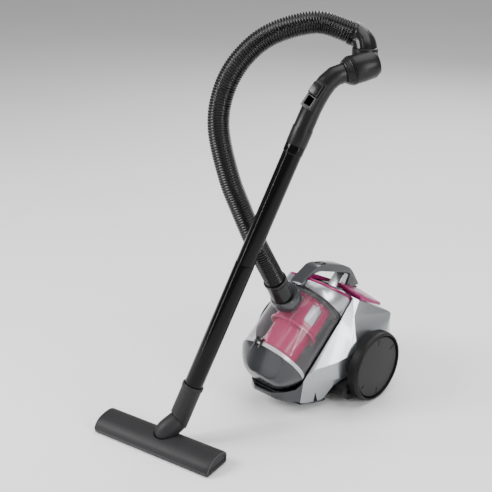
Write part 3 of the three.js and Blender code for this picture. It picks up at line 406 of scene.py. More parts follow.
class Bench:
    """Makes, places and dresses the pieces."""

    def __init__(self, finishes: Finishes) -> None:
        """Takes the finishes that the pieces are dressed with."""
        self.finishes = finishes

    def piece(self, name: str, mesh: bpy.types.Mesh, slot: str, sharp: float = 32.0) -> bpy.types.Object:
        """Links a mesh as an object at the origin with its finish and smooth shading."""
        mesh.materials.clear()
        mesh.materials.append(self.finishes[slot])
        made = bpy.data.objects.new(name, mesh)
        bpy.context.scene.collection.objects.link(made)
        for polygon in mesh.polygons:
            polygon.use_smooth = True
        mesh.set_sharp_from_angle(angle=math.radians(sharp))
        return made

    def keep(self, made: bpy.types.Object, body: str, slot: str, *nodes: str) -> bpy.types.Object:
        """Rides a piece on its body and puts it in place of CAD nodes."""
        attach(made, body)
        if nodes:
            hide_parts(*nodes)
        LOG.info("%s: %d faces", made.name, len(made.data.polygons))
        return made

    def from_bmesh(self, name: str, work: bmesh.types.BMesh, place: Place, slot: str,
                   sharp: float = 32.0) -> bpy.types.Object:
        """Finishes a bmesh that is in a place's millimetres."""
        bmesh.ops.recalc_face_normals(work, faces=work.faces)
        work.transform(place.matrix)
        mesh = bpy.data.meshes.new(name)
        work.to_mesh(mesh)
        work.free()
        return self.piece(name, mesh, slot, sharp)

    def turned(self, name: str, profile: Sequence[tuple[float, float]], place: Place, slot: str,
               sides: int = 96, soften: float = 0.0, ring: bool = True, sharp: float = 32.0) -> bpy.types.Object:
        """A piece turned about +Z of a place.

        Args:
            name: the piece's name.
            profile: (radius, height) points; a ring's profile is closed.
            place: its frame.
            slot: its finish.
            sides: the segments round it.
            soften: how far its corners are rounded.
            ring: whether the profile closes on itself instead of on the axis.
            sharp: the angle past which an edge is drawn sharp.

        Returns:
            The piece.
        """
        points = rounded_corners(profile, soften, ring) if soften else list(profile)
        work = bmesh.new()
        rows = []
        for radius, height in points:
            if radius < 1e-4:
                rows.append([work.verts.new((0.0, 0.0, height))] * sides)
                continue
            rows.append([work.verts.new((*polar(radius, 360.0 * i / sides), height)) for i in range(sides)])
        pairs = list(zip(rows, rows[1:]))
        if ring:
            pairs.append((rows[-1], rows[0]))
        for low, high in pairs:
            for i in range(sides):
                j = (i + 1) % sides
                corners = list(dict.fromkeys((low[i], low[j], high[j], high[i])))
                if len(corners) > 2:
                    work.faces.new(corners)
        return self.from_bmesh(name, work, place, slot, sharp)

    def swept(self, name: str, route: Sequence[Vector], radius: Callable[[float, float], float], slot: str,
              sides: int = 48, bore: float = 0.0, sharp: float = 40.0) -> bpy.types.Object:
        """A piece swept along a route in the canister's millimetres.

        Args:
            name: the piece's name.
            route: its centreline.
            radius: the radius from (how far along, angle in degrees).
            slot: its finish.
            sides: the segments round it.
            bore: the radius of its bore, or 0 where it is solid.
            sharp: the angle past which an edge is drawn sharp.

        Returns:
            The piece.
        """
        work = bmesh.new()
        count = len(route)
        tangents = [(route[min(i + 1, count - 1)] - route[max(i - 1, 0)]).normalized() for i in range(count)]
        up = Vector((0.0, 0.0, 1.0))
        across = (up - up.dot(tangents[0]) * tangents[0]).normalized()
        outer, inner = [], []
        for i, (centre, tangent) in enumerate(zip(route, tangents)):
            if i:
                across.rotate(tangents[i - 1].rotation_difference(tangent))
            side = tangent.cross(across)
            for rows, fixed in ((outer, 0.0), (inner, bore)):
                if rows is inner and not bore:
                    continue
                row = []
                for k in range(sides):
                    angle = 360.0 * k / sides
                    u, v = polar(fixed or radius(i / (count - 1), angle), angle)
                    row.append(work.verts.new(centre + across * u + side * v))
                rows.append(row)
        for rows in (outer, inner):
            for low, high in zip(rows, rows[1:]):
                for k in range(sides):
                    j = (k + 1) % sides
                    work.faces.new((low[k], low[j], high[j], high[k]))
        for end in (0, -1):
            if bore:
                for k in range(sides):
                    j = (k + 1) % sides
                    work.faces.new((outer[end][k], outer[end][j], inner[end][j], inner[end][k]))
            else:
                work.faces.new(outer[end])
        return self.from_bmesh(name, work, Place((0.0, 0.0, 0.0)), slot, sharp)

    def softened(self, node: str, body: str, slot: str, width: float = 0.6, angle: float = 28.0,
                 segments: int = 3, sharp: float = 30.0, finish: str = "",
                 trim: tuple[Point, Point] | None = None) -> bpy.types.Object:
        """A copy of a CAD node with its flat faces joined and its edges rounded.

        Args:
            node: the CAD node that it replaces.
            body: the body that it rides on.
            slot: its finish.
            width: the width of the rounding in millimetres.
            angle: edges sharper than this many degrees are rounded.
            segments: the facets across a rounded edge.
            sharp: the angle past which an edge is still drawn sharp.
            finish: the finish's name where it isn't the slot's own.
            trim: a point and an outward normal, in the canister's frame, past which the piece is cut off.

        Returns:
            The piece.
        """
        work = bmesh.new()
        work.from_mesh(frame["nodes"][node].data)
        bmesh.ops.remove_doubles(work, verts=work.verts, dist=2e-6)
        bmesh.ops.dissolve_limit(work, angle_limit=math.radians(1.0), verts=work.verts, edges=work.edges)
        mesh = bpy.data.meshes.new(node + "_soft")
        work.to_mesh(mesh)
        work.free()
        made = self.piece(node + "_soft", mesh, finish or slot)
        if trim:
            self.cut(made, *trim)
        bevel = made.modifiers.new("edges", "BEVEL")
        bevel.width = width * MM
        bevel.segments = segments
        bevel.limit_method = "ANGLE"
        bevel.angle_limit = math.radians(angle)
        bevel.use_clamp_overlap = True
        self.apply(made)
        made.data.set_sharp_from_angle(angle=math.radians(sharp))
        return self.keep(made, body, slot, node)

    @staticmethod
    def apply(made: bpy.types.Object) -> None:
        """Turns an object and its modifiers into a plain mesh."""
        graph = bpy.context.evaluated_depsgraph_get()
        mesh = bpy.data.meshes.new_from_object(made.evaluated_get(graph))
        made.modifiers.clear()
        made.data = mesh

    def carve(self, made: bpy.types.Object, cutter: bpy.types.Object) -> None:
        """Takes another piece out of a piece and removes that other piece."""
        change = made.modifiers.new("carve", "BOOLEAN")
        change.operation = "DIFFERENCE"
        change.solver = "EXACT"
        change.object = cutter
        self.apply(made)
        bpy.data.objects.remove(cutter)
        made.data.set_sharp_from_angle(angle=math.radians(34.0))

    def cut(self, made: bpy.types.Object, at: Point, normal: Point) -> None:
        """Cuts off what lies beyond a plane in the canister's millimetres, and closes the cut."""
        work = bmesh.new()
        work.from_mesh(made.data)
        point = (Vector(at) + SHIFT) * MM
        done = bmesh.ops.bisect_plane(work, geom=[*work.verts, *work.edges, *work.faces], plane_co=point,
                                      plane_no=Vector(normal), clear_outer=True)
        edges = [e for e in done["geom_cut"] if isinstance(e, bmesh.types.BMEdge)]
        bmesh.ops.triangle_fill(work, edges=edges, use_beauty=True, normal=Vector(normal))
        bmesh.ops.recalc_face_normals(work, faces=work.faces)
        work.to_mesh(made.data)
        work.free()
        for polygon in made.data.polygons:
            polygon.use_smooth = True
        made.data.set_sharp_from_angle(angle=math.radians(32))


# ---------------------------------------------------------------- geometry nodes
class Tree:
    """A Geometry Nodes tree that is built once and used by the pieces that share it."""

    def __init__(self, name: str, inputs: dict[str, tuple[str, float]]) -> None:
        """Starts a tree with named inputs.

        Args:
            name: the tree's name.
            inputs: the socket type and default of each input.
        """
        self.tree = bpy.data.node_groups.new(name, "GeometryNodeTree")
        face = self.tree.interface
        face.new_socket("Geometry", in_out="INPUT", socket_type="NodeSocketGeometry")
        face.new_socket("Geometry", in_out="OUTPUT", socket_type="NodeSocketGeometry")
        self.ids: dict[str, str] = {}
        for key, (kind, value) in inputs.items():
            made = face.new_socket(key, in_out="INPUT", socket_type=kind)
            if value is not None:
                made.default_value = value
            self.ids[key] = made.identifier
        self.source = self.tree.nodes.new("NodeGroupInput")

    def given(self, key: str) -> bpy.types.NodeSocket:
        """The socket of a named input."""
        return self.source.outputs[key]

    def node(self, kind: str, settings: dict | None = None, inputs: dict | None = None,
             out: int | str = 0) -> bpy.types.NodeSocket:
        """Adds a node and returns one of its outputs."""
        made = self.tree.nodes.new(kind)
        for key, value in (settings or {}).items():
            setattr(made, key, value)
        for key, value in (inputs or {}).items():
            if isinstance(value, bpy.types.NodeSocket):
                self.tree.links.new(value, made.inputs[key])
            else:
                made.inputs[key].default_value = value
        return made.outputs[out]

    def maths(self, operation: str, first: Input, second: Input = 0.0) -> bpy.types.NodeSocket:
        """Adds a Math node."""
        return self.node("ShaderNodeMath", {"operation": operation}, {0: first, 1: second})

    def end(self, geometry: bpy.types.NodeSocket) -> None:
        """Ends the tree with real geometry in its finish."""
        real = self.node("GeometryNodeRealizeInstances", {}, {0: geometry})
        dressed = self.node("GeometryNodeSetMaterial", {}, {
            "Geometry": real, "Material": self.given("Finish")})
        out = self.tree.nodes.new("NodeGroupOutput")
        self.tree.links.new(dressed, out.inputs[0])

    def run(self, name: str, data: bpy.types.ID, values: dict, bench: Bench, slot: str, place: Place | None,
            sharp: float = 40.0) -> bpy.types.Object:
        """Bakes the tree on some data into a plain mesh piece.

        Args:
            name: the piece's name.
            data: the mesh or curve that it starts from.
            values: its inputs by name.
            bench: the bench that dresses it.
            slot: its finish.
            place: its frame, or None where the data is in the row frame.
            sharp: the angle past which an edge is drawn sharp.

        Returns:
            The piece.
        """
        holder = bpy.data.objects.new(name + "_source", data)
        bpy.context.scene.collection.objects.link(holder)
        modifier = holder.modifiers.new("nodes", "NODES")
        modifier.node_group = self.tree
        for key, value in {**values, "Finish": bench.finishes[slot]}.items():
            modifier[self.ids[key]] = value
        bpy.context.view_layer.update()
        graph = bpy.context.evaluated_depsgraph_get()
        mesh = bpy.data.meshes.new_from_object(holder.evaluated_get(graph))
        holder.modifiers.clear()
        bpy.data.objects.remove(holder)
        if place is not None:
            mesh.transform(place.matrix)
        return bench.piece(name, mesh, slot, sharp)


def corrugation_tree() -> Tree:
    """The tree that makes a corrugated hose from a curve.

    Returns:
        A tree whose sizes are in metres.
    """
    tree = Tree("corrugated_hose", {
        "Radius": ("NodeSocketFloat", 0.02), "Depth": ("NodeSocketFloat", 0.0026),
        "Pitch": ("NodeSocketFloat", 0.0065),
        "Count": ("NodeSocketInt", 900), "Sides": ("NodeSocketInt", 40),
        "Finish": ("NodeSocketMaterial", None),
    })
    curve = tree.node("GeometryNodeResampleCurve", {}, {
        "Curve": tree.given("Geometry"), "Count": tree.given("Count")})
    along = tree.node("GeometryNodeSplineParameter", out="Length")
    turns = tree.maths("MULTIPLY", tree.maths("DIVIDE", along, tree.given("Pitch")), 2 * math.pi)
    wave = tree.maths("ADD", tree.maths("MULTIPLY", tree.maths("COSINE", turns), 0.5), 0.5)
    groove = tree.maths("MULTIPLY", tree.maths("POWER", wave, 1.7), tree.given("Depth"))
    radius = tree.maths("SUBTRACT", tree.given("Radius"), groove)
    sized = tree.node("GeometryNodeSetCurveRadius", {}, {"Curve": curve, "Radius": radius})
    ring = tree.node("GeometryNodeCurvePrimitiveCircle", {}, {
        "Resolution": tree.given("Sides"), "Radius": 1.0})
    swept = tree.tree.nodes.new("GeometryNodeCurveToMesh")
    tree.tree.links.new(sized, swept.inputs["Curve"])
    tree.tree.links.new(ring, swept.inputs["Profile Curve"])
    swept.inputs["Fill Caps"].default_value = True
    if "Scale" in swept.inputs:
        tree.tree.links.new(radius, swept.inputs["Scale"])
    tree.end(swept.outputs[0])
    return tree


def ring_tree() -> Tree:
    """The tree that sets bars round a circle.

    Returns:
        A tree whose sizes are in millimetres; a bar's x is outwards, its y round the circle, its z up.
    """
    tree = Tree("bars_round_a_circle", {
        "Count": ("NodeSocketInt", 60), "Radius": ("NodeSocketFloat", 70.0),
        "Height": ("NodeSocketFloat", 0.0), "Size": ("NodeSocketVector", None),
        "Lean": ("NodeSocketFloat", 0.0), "Finish": ("NodeSocketMaterial", None),
    })
    points = tree.node("GeometryNodeMeshCircle", {}, {
        "Vertices": tree.given("Count"), "Radius": tree.given("Radius")})
    lift = tree.node("ShaderNodeCombineXYZ", {}, {"Z": tree.given("Height")})
    raised = tree.node("GeometryNodeSetPosition", {}, {"Geometry": points, "Offset": lift})
    bar = tree.node("GeometryNodeMeshCube", {}, {"Size": tree.given("Size")})
    number = tree.node("GeometryNodeInputIndex")
    share = tree.maths("DIVIDE", number, tree.given("Count"))
    angle = tree.maths("MULTIPLY", share, 2 * math.pi)
    turn = tree.node("ShaderNodeCombineXYZ", {}, {"X": tree.given("Lean"), "Z": angle})
    bars = tree.node("GeometryNodeInstanceOnPoints", {}, {"Points": raised, "Instance": bar, "Rotation": turn})
    tree.end(bars)
    return tree


# ---------------------------------------------------------------- the cleaner
BIN_TILT = 53.0
BIN = Place((0.0, -167.0, 103.0), Quaternion((1.0, 0.0, 0.0), math.radians(-BIN_TILT)))
CUFF_AXIS = Vector((0.0, -0.5, math.cos(math.radians(30.0))))
CUFF = Place((0.0, -136.0, 229.0), facing(CUFF_AXIS))
PLAN = Vector((0.522, 0.853, 0.0)).normalized()


def leaning(degrees: float) -> Vector:
    """The direction that leans from the vertical in the wand's plane."""
    angle = math.radians(degrees)
    return PLAN * math.sin(angle) + Vector((0.0, 0.0, math.cos(angle)))


WAND_AXIS = leaning(23.1)
NECK_AT = Vector((-42.0, -382.0, 48.6))
WAND_L = 559.0
WAND_PLACE = Place(tuple(NECK_AT), facing(WAND_AXIS))
GRIP_AT = NECK_AT + WAND_AXIS * WAND_L
KNUCKLE_AT = Vector((-53.0, -411.0, 29.0))
SWIVEL = (NECK_AT - KNUCKLE_AT).normalized()
DRUM_AXIS = leaning(76.0)
DRUM_HALF = 30.0
DRUM_GAP = 0.8
GRIP_END = GRIP_AT + PLAN * 82.0 + Vector((0.0, 0.0, 119.7))
DRUM_AT = GRIP_END + DRUM_AXIS * (DRUM_HALF + DRUM_GAP)
HEAD_PLACE = Place((-183.7, -471.8, 0.0), Quaternion((0.0, 0.0, 1.0), math.radians(9.9)))
AXLE_LINE = {side: Place((0.0, 0.0, 73.0), facing((side, 0.0, 0.0))) for side in (-1, 1)}


SILVER = SilverPaint("silver_shell", (0.33, 0.345, 0.36))
LID = SilverPaint("silver_lid", (0.36, 0.37, 0.385), reach=-1.0)
GREY = Moulded("grey_trim", (0.042, 0.044, 0.048), 0.2, 0.06, 0.35, 0.25, 1200.0, 0.00001, 0.06, specular=0.4)
CHARCOAL = Moulded("charcoal_plastic", (0.012, 0.0117, 0.0125), 0.46, 0.1, grain=1300.0, depth=0.00006)
DISC = Moulded("wheel_disc", (0.012, 0.0118, 0.0128), 0.42, 0.1, grain=1500.0, depth=0.00005)
HEAD = Moulded("head_plastic", (0.018, 0.0168, 0.0182), 0.5, 0.12, grain=1100.0, depth=0.00009, dust=0.04)
GRIP = Moulded("grip_plastic", (0.008, 0.0078, 0.0084), 0.36, 0.1, grain=1500.0, depth=0.00003)
BLACK = Moulded("black_plastic", (0.004, 0.004, 0.0043), 0.24, 0.08, grain=1300.0, depth=0.00002, specular=0.3)
HOSE = Moulded("hose_black", (0.003, 0.003, 0.0032), 0.2, 0.08, grain=900.0, depth=0.00002, specular=0.3)
RIM = Moulded("head_rim", (0.05, 0.048, 0.052), 0.4, 0.1, grain=1100.0, depth=0.00003)
WAND = Moulded("wand_black", (0.0015, 0.0015, 0.0017), 0.1, 0.04, grain=700.0, depth=0.00001, specular=0.16)
TYRE = Moulded("tyre", (0.006, 0.006, 0.0064), 0.5, 0.12, grain=1400.0, depth=0.00009, dust=0.03)
SEAL = Moulded("seal_rubber", (0.01, 0.01, 0.01), 0.6, 0.1, grain=1200.0, depth=0.00005)
STEEL = Moulded("steel", (0.55, 0.55, 0.56), 0.28, 0.14, 1.0, grain=1500.0, depth=0.00002, specular=0.5)
# A lighter copy of the magenta plastic for the cyclone: painted light, brightened to make up for the cup in front
# of it.
LIT_MAGENTA = Moulded("cyclone_pink", (0.55, 0.002, 0.11), 0.22, 0.06, 0.0, 0.3, 1200.0, 0.00001, 0.1, specular=0.4)
MAGENTA = Moulded("magenta", (0.24, 0.0025, 0.085), 0.26, 0.06, 0.15, 0.15, 1200.0, 0.00001, 0.08, specular=0.35)
PALE = Moulded("pale_plastic", (0.50, 0.50, 0.52), 0.25, 0.06, 0.2, 0.2, 1300.0, 0.00001, 0.04, specular=0.4)
FOAM = Moulded("foam", (0.2, 0.2, 0.21), 0.9, 0.08, grain=500.0, depth=0.0006, mottle=0.3)
BRISTLE = Moulded("bristle", (0.012, 0.012, 0.013), 0.8, 0.1, grain=2200.0, depth=0.0005, mottle=0.4)
CLEAR = ClearPlastic("clear_cup", (0.93, 0.93, 0.95))
FINISHES = (SILVER, LID, GREY, CHARCOAL, DISC, HEAD, GRIP, BLACK, HOSE, WAND, TYRE, SEAL, STEEL, MAGENTA, LIT_MAGENTA,
            RIM, PALE, FOAM, BRISTLE, CLEAR)


class Side(Enum):
    """The two sides of the canister, with the sign of X."""

    LEFT = -1
    RIGHT = 1

    @property
    def word(self) -> str:
        """The side as it stands in node names."""
        return self.name.lower()


@dataclass
class Hose:
    """The corrugated hose with its cuff and end sleeve."""

    bench: Bench
    outside: float = 20.0
    pitch: float = 4.7
    groove: float = 1.5
    route: tuple = (
        (0, -164.2, 277.9), (0, -176, 298.3), (-3, -201, 344), (-13, -217, 387), (-29, -227, 432), (-46, -237, 484),
        (-66, -244, 582), (-61, -234, 644), (-41, -214, 695), (-10, -175, 736), (45, -111, 757), (78, -86, 746.5),
        (90, -77, 741))
    sleeve: tuple = ((90.7, -76.5, 740.7), (99, -70.5, 736.5), (112, -70, 727), (121, -75, 714), (125, -81, 698))

    def build(self) -> None:
        """Makes the hose, its cuff and its sleeve."""
        centres = [(p + SHIFT) * MM for p in catmull(self.route, 240)]
        length = sum((b - a).length for a, b in zip(centres, centres[1:]))
        data = bpy.data.curves.new("hose_route", "CURVE")
        data.dimensions = "3D"
        line = data.splines.new("POLY")
        line.points.add(len(centres) - 1)
        for point, centre in zip(line.points, centres):
            point.co = (*centre, 1.0)
        steps = round(length / (self.pitch * MM) * 9)
        hose = corrugation_tree().run("ribbed_hose", data, {
            "Radius": self.outside * MM, "Depth": self.groove * MM, "Pitch": self.pitch * MM, "Count": steps,
            "Sides": 44}, self.bench, "hose_black", None, 60.0)
        self.bench.keep(hose, "hose", "hose_black", "hose_tube")
        cuff = self._cuff()
        sleeve = self._sleeve()

    def _cuff(self) -> bpy.types.Object:
        """The smooth cuff at the bin's inlet."""
        profile = [(15, -7), (21, -7), (22.2, 4), (22.2, 20), (21.5, 47), (22.4, 49), (22.9, 50), (22.9, 55.4),
                   (22.3, 56), (19, 56), (15, 55)]
        made = self.bench.turned("hose_cuff_smooth", profile, CUFF, "black_plastic", 80, 0.6)
        return self.bench.keep(made, "hose_cuff", "black_plastic", "hose_cuff")

    def _sleeve(self) -> bpy.types.Object:
        """The bent sleeve with lengthwise bands, cut flat on the swivel."""
        route = catmull(self.sleeve, 40)

        def radius(share: float, angle: float) -> float:
            """The band pattern round the sleeve."""
            lip = 0.0 if share > 0.08 else 0.5
            band = 0.5 if abs(((angle + 15) % 60) - 30) < 5 and share > 0.12 else 0.0
            return 20.7 - band + lip

        made = self.bench.swept("hose_sleeve_banded", route, radius, "black_plastic", 96)
        self.bench.cut(made, (0.0, 0.0, 720.4), (0.0, 0.0, -1.0))
        return self.bench.keep(made, "hose", "black_plastic", "hose_sleeve")


@dataclass
class Wand:
    """The two tubes, the neck sleeve and the bent hand grip with its swivel drum."""

    bench: Bench
    radius: float = 17.5
    joint: float = 329.0
    socket: float = 34.0

    def build(self) -> None:
        """Makes every piece above the floor head."""
        self._tubes()
        self._neck()
        self._drum()
        self._grip()

    def _tubes(self) -> None:
        """The lower and upper tubes."""
        lower = [(16.1, self.socket + 0.4), (17.5, self.socket + 0.4), (17.5, self.joint - 7),
                 (17.5, self.joint), (16.1, self.joint)]
        made = self.bench.turned("lower_tube_gloss", lower, WAND_PLACE, "wand_black", 72, 0.4)
        self.bench.keep(made, "lower_tube", "wand_black", "lower_tube")
        upper = [(13.6, self.joint - 22), (15.4, self.joint - 22), (15.5, self.joint + 0.4), (17, self.joint + 0.4),
                 (17, WAND_L - 16), (17.9, WAND_L - 14), (17.9, WAND_L), (15.6, WAND_L), (15.6, self.joint + 3),
                 (13.6, self.joint - 2)]
        made = self.bench.turned("upper_tube_gloss", upper, WAND_PLACE, "wand_black", 72, 0.4)
        self.bench.keep(made, "upper_tube", "wand_black", "upper_tube")

    def _neck(self) -> None:
        """The neck sleeve with its flared socket."""
        profile = [(14, -30), (19.4, -30), (19.4, 20), (19.2, 64), (19.5, 69), (20.4, 71.5), (20.4, 77),
                   (19.8, 78), (18, 78), (18, 34), (14, 34)]
        made = self.bench.turned("neck_sleeve_flared", profile, WAND_PLACE, "head_plastic", 80)
        self.bench.cut(made, tuple(NECK_AT + SWIVEL * 0.4), tuple(-SWIVEL))
        self.bench.keep(made, "neck", "head_plastic", "neck_sleeve")

    def _drum(self) -> None:
        """The barrel of the swivel with fine rings at the grip's end."""
        self.bench.softened("swivel_drum", "handle", "grip_plastic", 1.0, 30.0)
        rings = [(19.1, -28.5)]
        for i in range(6):
            z = 2.6 * i - 28.0
            skin = min(19.5 + (z + DRUM_HALF) * 0.556, 24.6)
            rings += [(skin, z), (skin + 0.7, z + 0.5), (skin + 0.95, z + 1.3), (skin + 0.7, z + 1.8)]
        rings += [(24.1, -12.0), (19.1, -12.0)]
        place = Place(tuple(DRUM_AT), facing(DRUM_AXIS))
        ribs = self.bench.turned("drum_rings", rings, place, "grip_plastic", 96)
        self.bench.keep(ribs, "handle", "grip_plastic")

    def _grip(self) -> None:
        """The bent grip with its ferrule, and the suction slider."""
        self.bench.softened("hand_grip", "handle", "grip_plastic", 1.0, 35.0, sharp=34.0)
        self.bench.softened("suction_slider", "suction_slider", "black_plastic", 1.2, 30.0)


@dataclass
class FloorHead:
    """The wide floor head with its knuckle, strips and rollers."""

    bench: Bench
    width: float = 267.0
    middle: float = 31.0
    lip: float = 4.6
    rim_inset: float = 0.965

    def build(self) -> None:
        """Makes the head's pieces."""
        soft = self.bench.softened
        self._shell()
        self._lines()
        soft("sole_plate", "floor_head", "grey_trim", 0.3)
        soft("neck_knuckle", "knuckle", "head_plastic", 0.8, 30.0, sharp=34.0)
        for side in Side:
            soft(f"roller_{side.word}", f"roller_{side.word}", "tyre", 0.5)
        soft("tilt_pin", "floor_head", "steel", 0.3)
        for row in ("front", "rear"):
            soft(f"brush_strip_{row}", "floor_head", "bristle", 0.3)

    def _outline(self) -> list[tuple[float, float]]:
        """The cover's side view, from the front lip over the top to the rear."""
        low = self.lip
        corners = [(0.3, low), (0.3, 9.5), (5.5, 19.0), (17.0, 26.4), (33.0, 29.3), (47.0, 29.4), (57.0, 26.4),
                   (61.7, 19.0), (61.7, low)]
        return rounded_corners(corners, 8.0, False)

    def _shell(self) -> None:
        """The rounded cover, recessed at its ends and cut out round the knuckle."""
        work = bmesh.new()
        middle, low, w = self.middle, self.lip, self.width
        ends = ((1.8, 0.8), (0.2, 0.84), (0.0, 0.92), (0.6, 0.96), (1.8, 0.988), (4.0, 1.0))
        between = [(w * i / 8, 1.0) for i in range(1, 8)]
        stations = [*ends, *between, *((w - x, f) for x, f in reversed(ends))]
        outline = self._outline()
        rows = [[work.verts.new((x, middle + (y - middle) * f, low + (z - low) * f)) for y, z in outline]
                for x, f in stations]
        for near, far in zip(rows, rows[1:]):
            for i in range(-1, len(near) - 1):
                work.faces.new((near[i], near[i + 1], far[i + 1], far[i]))
        work.faces.new(rows[0])
        work.faces.new(rows[-1])
        made = self.bench.from_bmesh("head_cover", work, HEAD_PLACE, "head_plastic", 34.0)
        room = [(0, -17), (9, -15.6), (15.6, -11), (20, -3), (21.8, 8), (21.8, 60), (0, 60)]
        place = Place(tuple(KNUCKLE_AT), facing(SWIVEL))
        hole = self.bench.turned("knuckle_room", room, place, "head_plastic", 64, ring=False)
        self.bench.carve(made, hole)
        self.bench.keep(made, "floor_head", "head_plastic", "head_shell")

    def _lines(self) -> None:
        """The two fine lines along the lip and the rolled rim of each end."""
        w = self.width
        for i, height in enumerate((5.6, 8.2)):
            around = rounded_corners([(0.5, 58.0), (0.5, 0.6), (w - 0.5, 0.6), (w - 0.5, 58.0)], 3.0, False)
            self._line(f"head_line_{i + 1}", [(x, y, height) for x, y in around], 0.55)
        for word, x in (("left", 1.0), ("right", w - 1.0)):
            rim = [(x, self.middle + (y - self.middle) * self.rim_inset, self.lip + (z - self.lip) * self.rim_inset)
                   for y, z in self._outline()[2:-1]]
            self._line(f"head_rim_{word}", rim, 0.9)

    def _line(self, name: str, points: Sequence[Point], radius: float) -> None:
        """A thin bead along points in the head's own frame."""
        route = [Vector(HEAD_PLACE.at) + HEAD_PLACE.turn @ Vector(point) for point in points]
        made = self.bench.swept(name, route, lambda share, angle: radius, "head_rim", 10)
        self.bench.keep(made, "floor_head", "head_plastic")


@dataclass
class Wheels:
    """Rear wheels and the front caster."""

    bench: Bench
    radius: float = 73.0
    outer: float = 136.5
    width: float = 25.0

    def build(self) -> None:
        """Makes both rear wheels and the caster."""
        for side in Side:
            self._wheel(side)
            self.bench.softened(f"axle_{side.word}", "canister", "steel", 0.4)
        self.bench.softened("caster_fork", "caster_swivel", "charcoal_plastic", 0.6)
        self.bench.softened("caster_pin", "caster_swivel", "steel", 0.2)
        self.bench.softened("caster_wheel", "caster_roller", "tyre", 0.6)

    def _wheel(self, side: Side) -> None:
        """One wheel: tyre, tread bars, disc and the short raised lines near its rim."""
        bench, word, place = self.bench, side.word, AXLE_LINE[side.value]
        inner, seat, rim = self.outer - self.width, self.radius - 19, self.radius - 7
        tyre = [(seat, inner), (self.radius - 4, inner), (self.radius - 0.5, inner + 3),
                (self.radius - 0.5, self.outer - 9),
                (self.radius - 1.4, self.outer - 4), (self.radius - 2.6, self.outer - 1.2),
                (self.radius - 4.2, self.outer), (rim + 0.8, self.outer), (rim, self.outer - 1.4),
                (rim, self.outer - 12), (seat, self.outer - 12)]
        made = bench.turned(f"tyre_{word}_round", tyre, place, "tyre", 128, 1.2)
        bench.keep(made, f"rear_wheel_{word}", "tyre", f"tyre_{word}")
        tread = ring_tree().run(f"tread_{word}", bpy.data.meshes.new("tread"), {
            "Count": 150, "Radius": self.radius - 0.55, "Height": inner + 10.0, "Size": (1.1, 1.4, 13.0)},
            bench, "tyre", place)
        bench.keep(tread, f"rear_wheel_{word}", "tyre")
        face = rim - 2.2
        disc = [(0, self.outer - 8.6), (5.4, self.outer - 8.6), (5.4, inner + 2), (16, inner + 2), (16, inner + 8),
                (seat - 0.4, inner + 8), (seat - 0.4, self.outer - 11.5), (face, self.outer - 11.5),
                (face, self.outer - 4.4), (face - 1.6, self.outer - 2.9), (0, self.outer - 2.4)]
        made = bench.turned(f"wheel_disc_{word}_face", disc, place, "wheel_disc", 128, 0.5, ring=False)
        bench.keep(made, f"rear_wheel_{word}", "wheel_disc", f"wheel_disc_{word}")
        marks = ring_tree().run(f"disc_lines_{word}", bpy.data.meshes.new("lines"), {
            "Count": 6, "Radius": face - 10.0, "Height": self.outer - 2.65, "Size": (13.0, 1.3, 1.2)},
            bench, "wheel_disc", place)
        bench.keep(marks, f"rear_wheel_{word}", "wheel_disc")


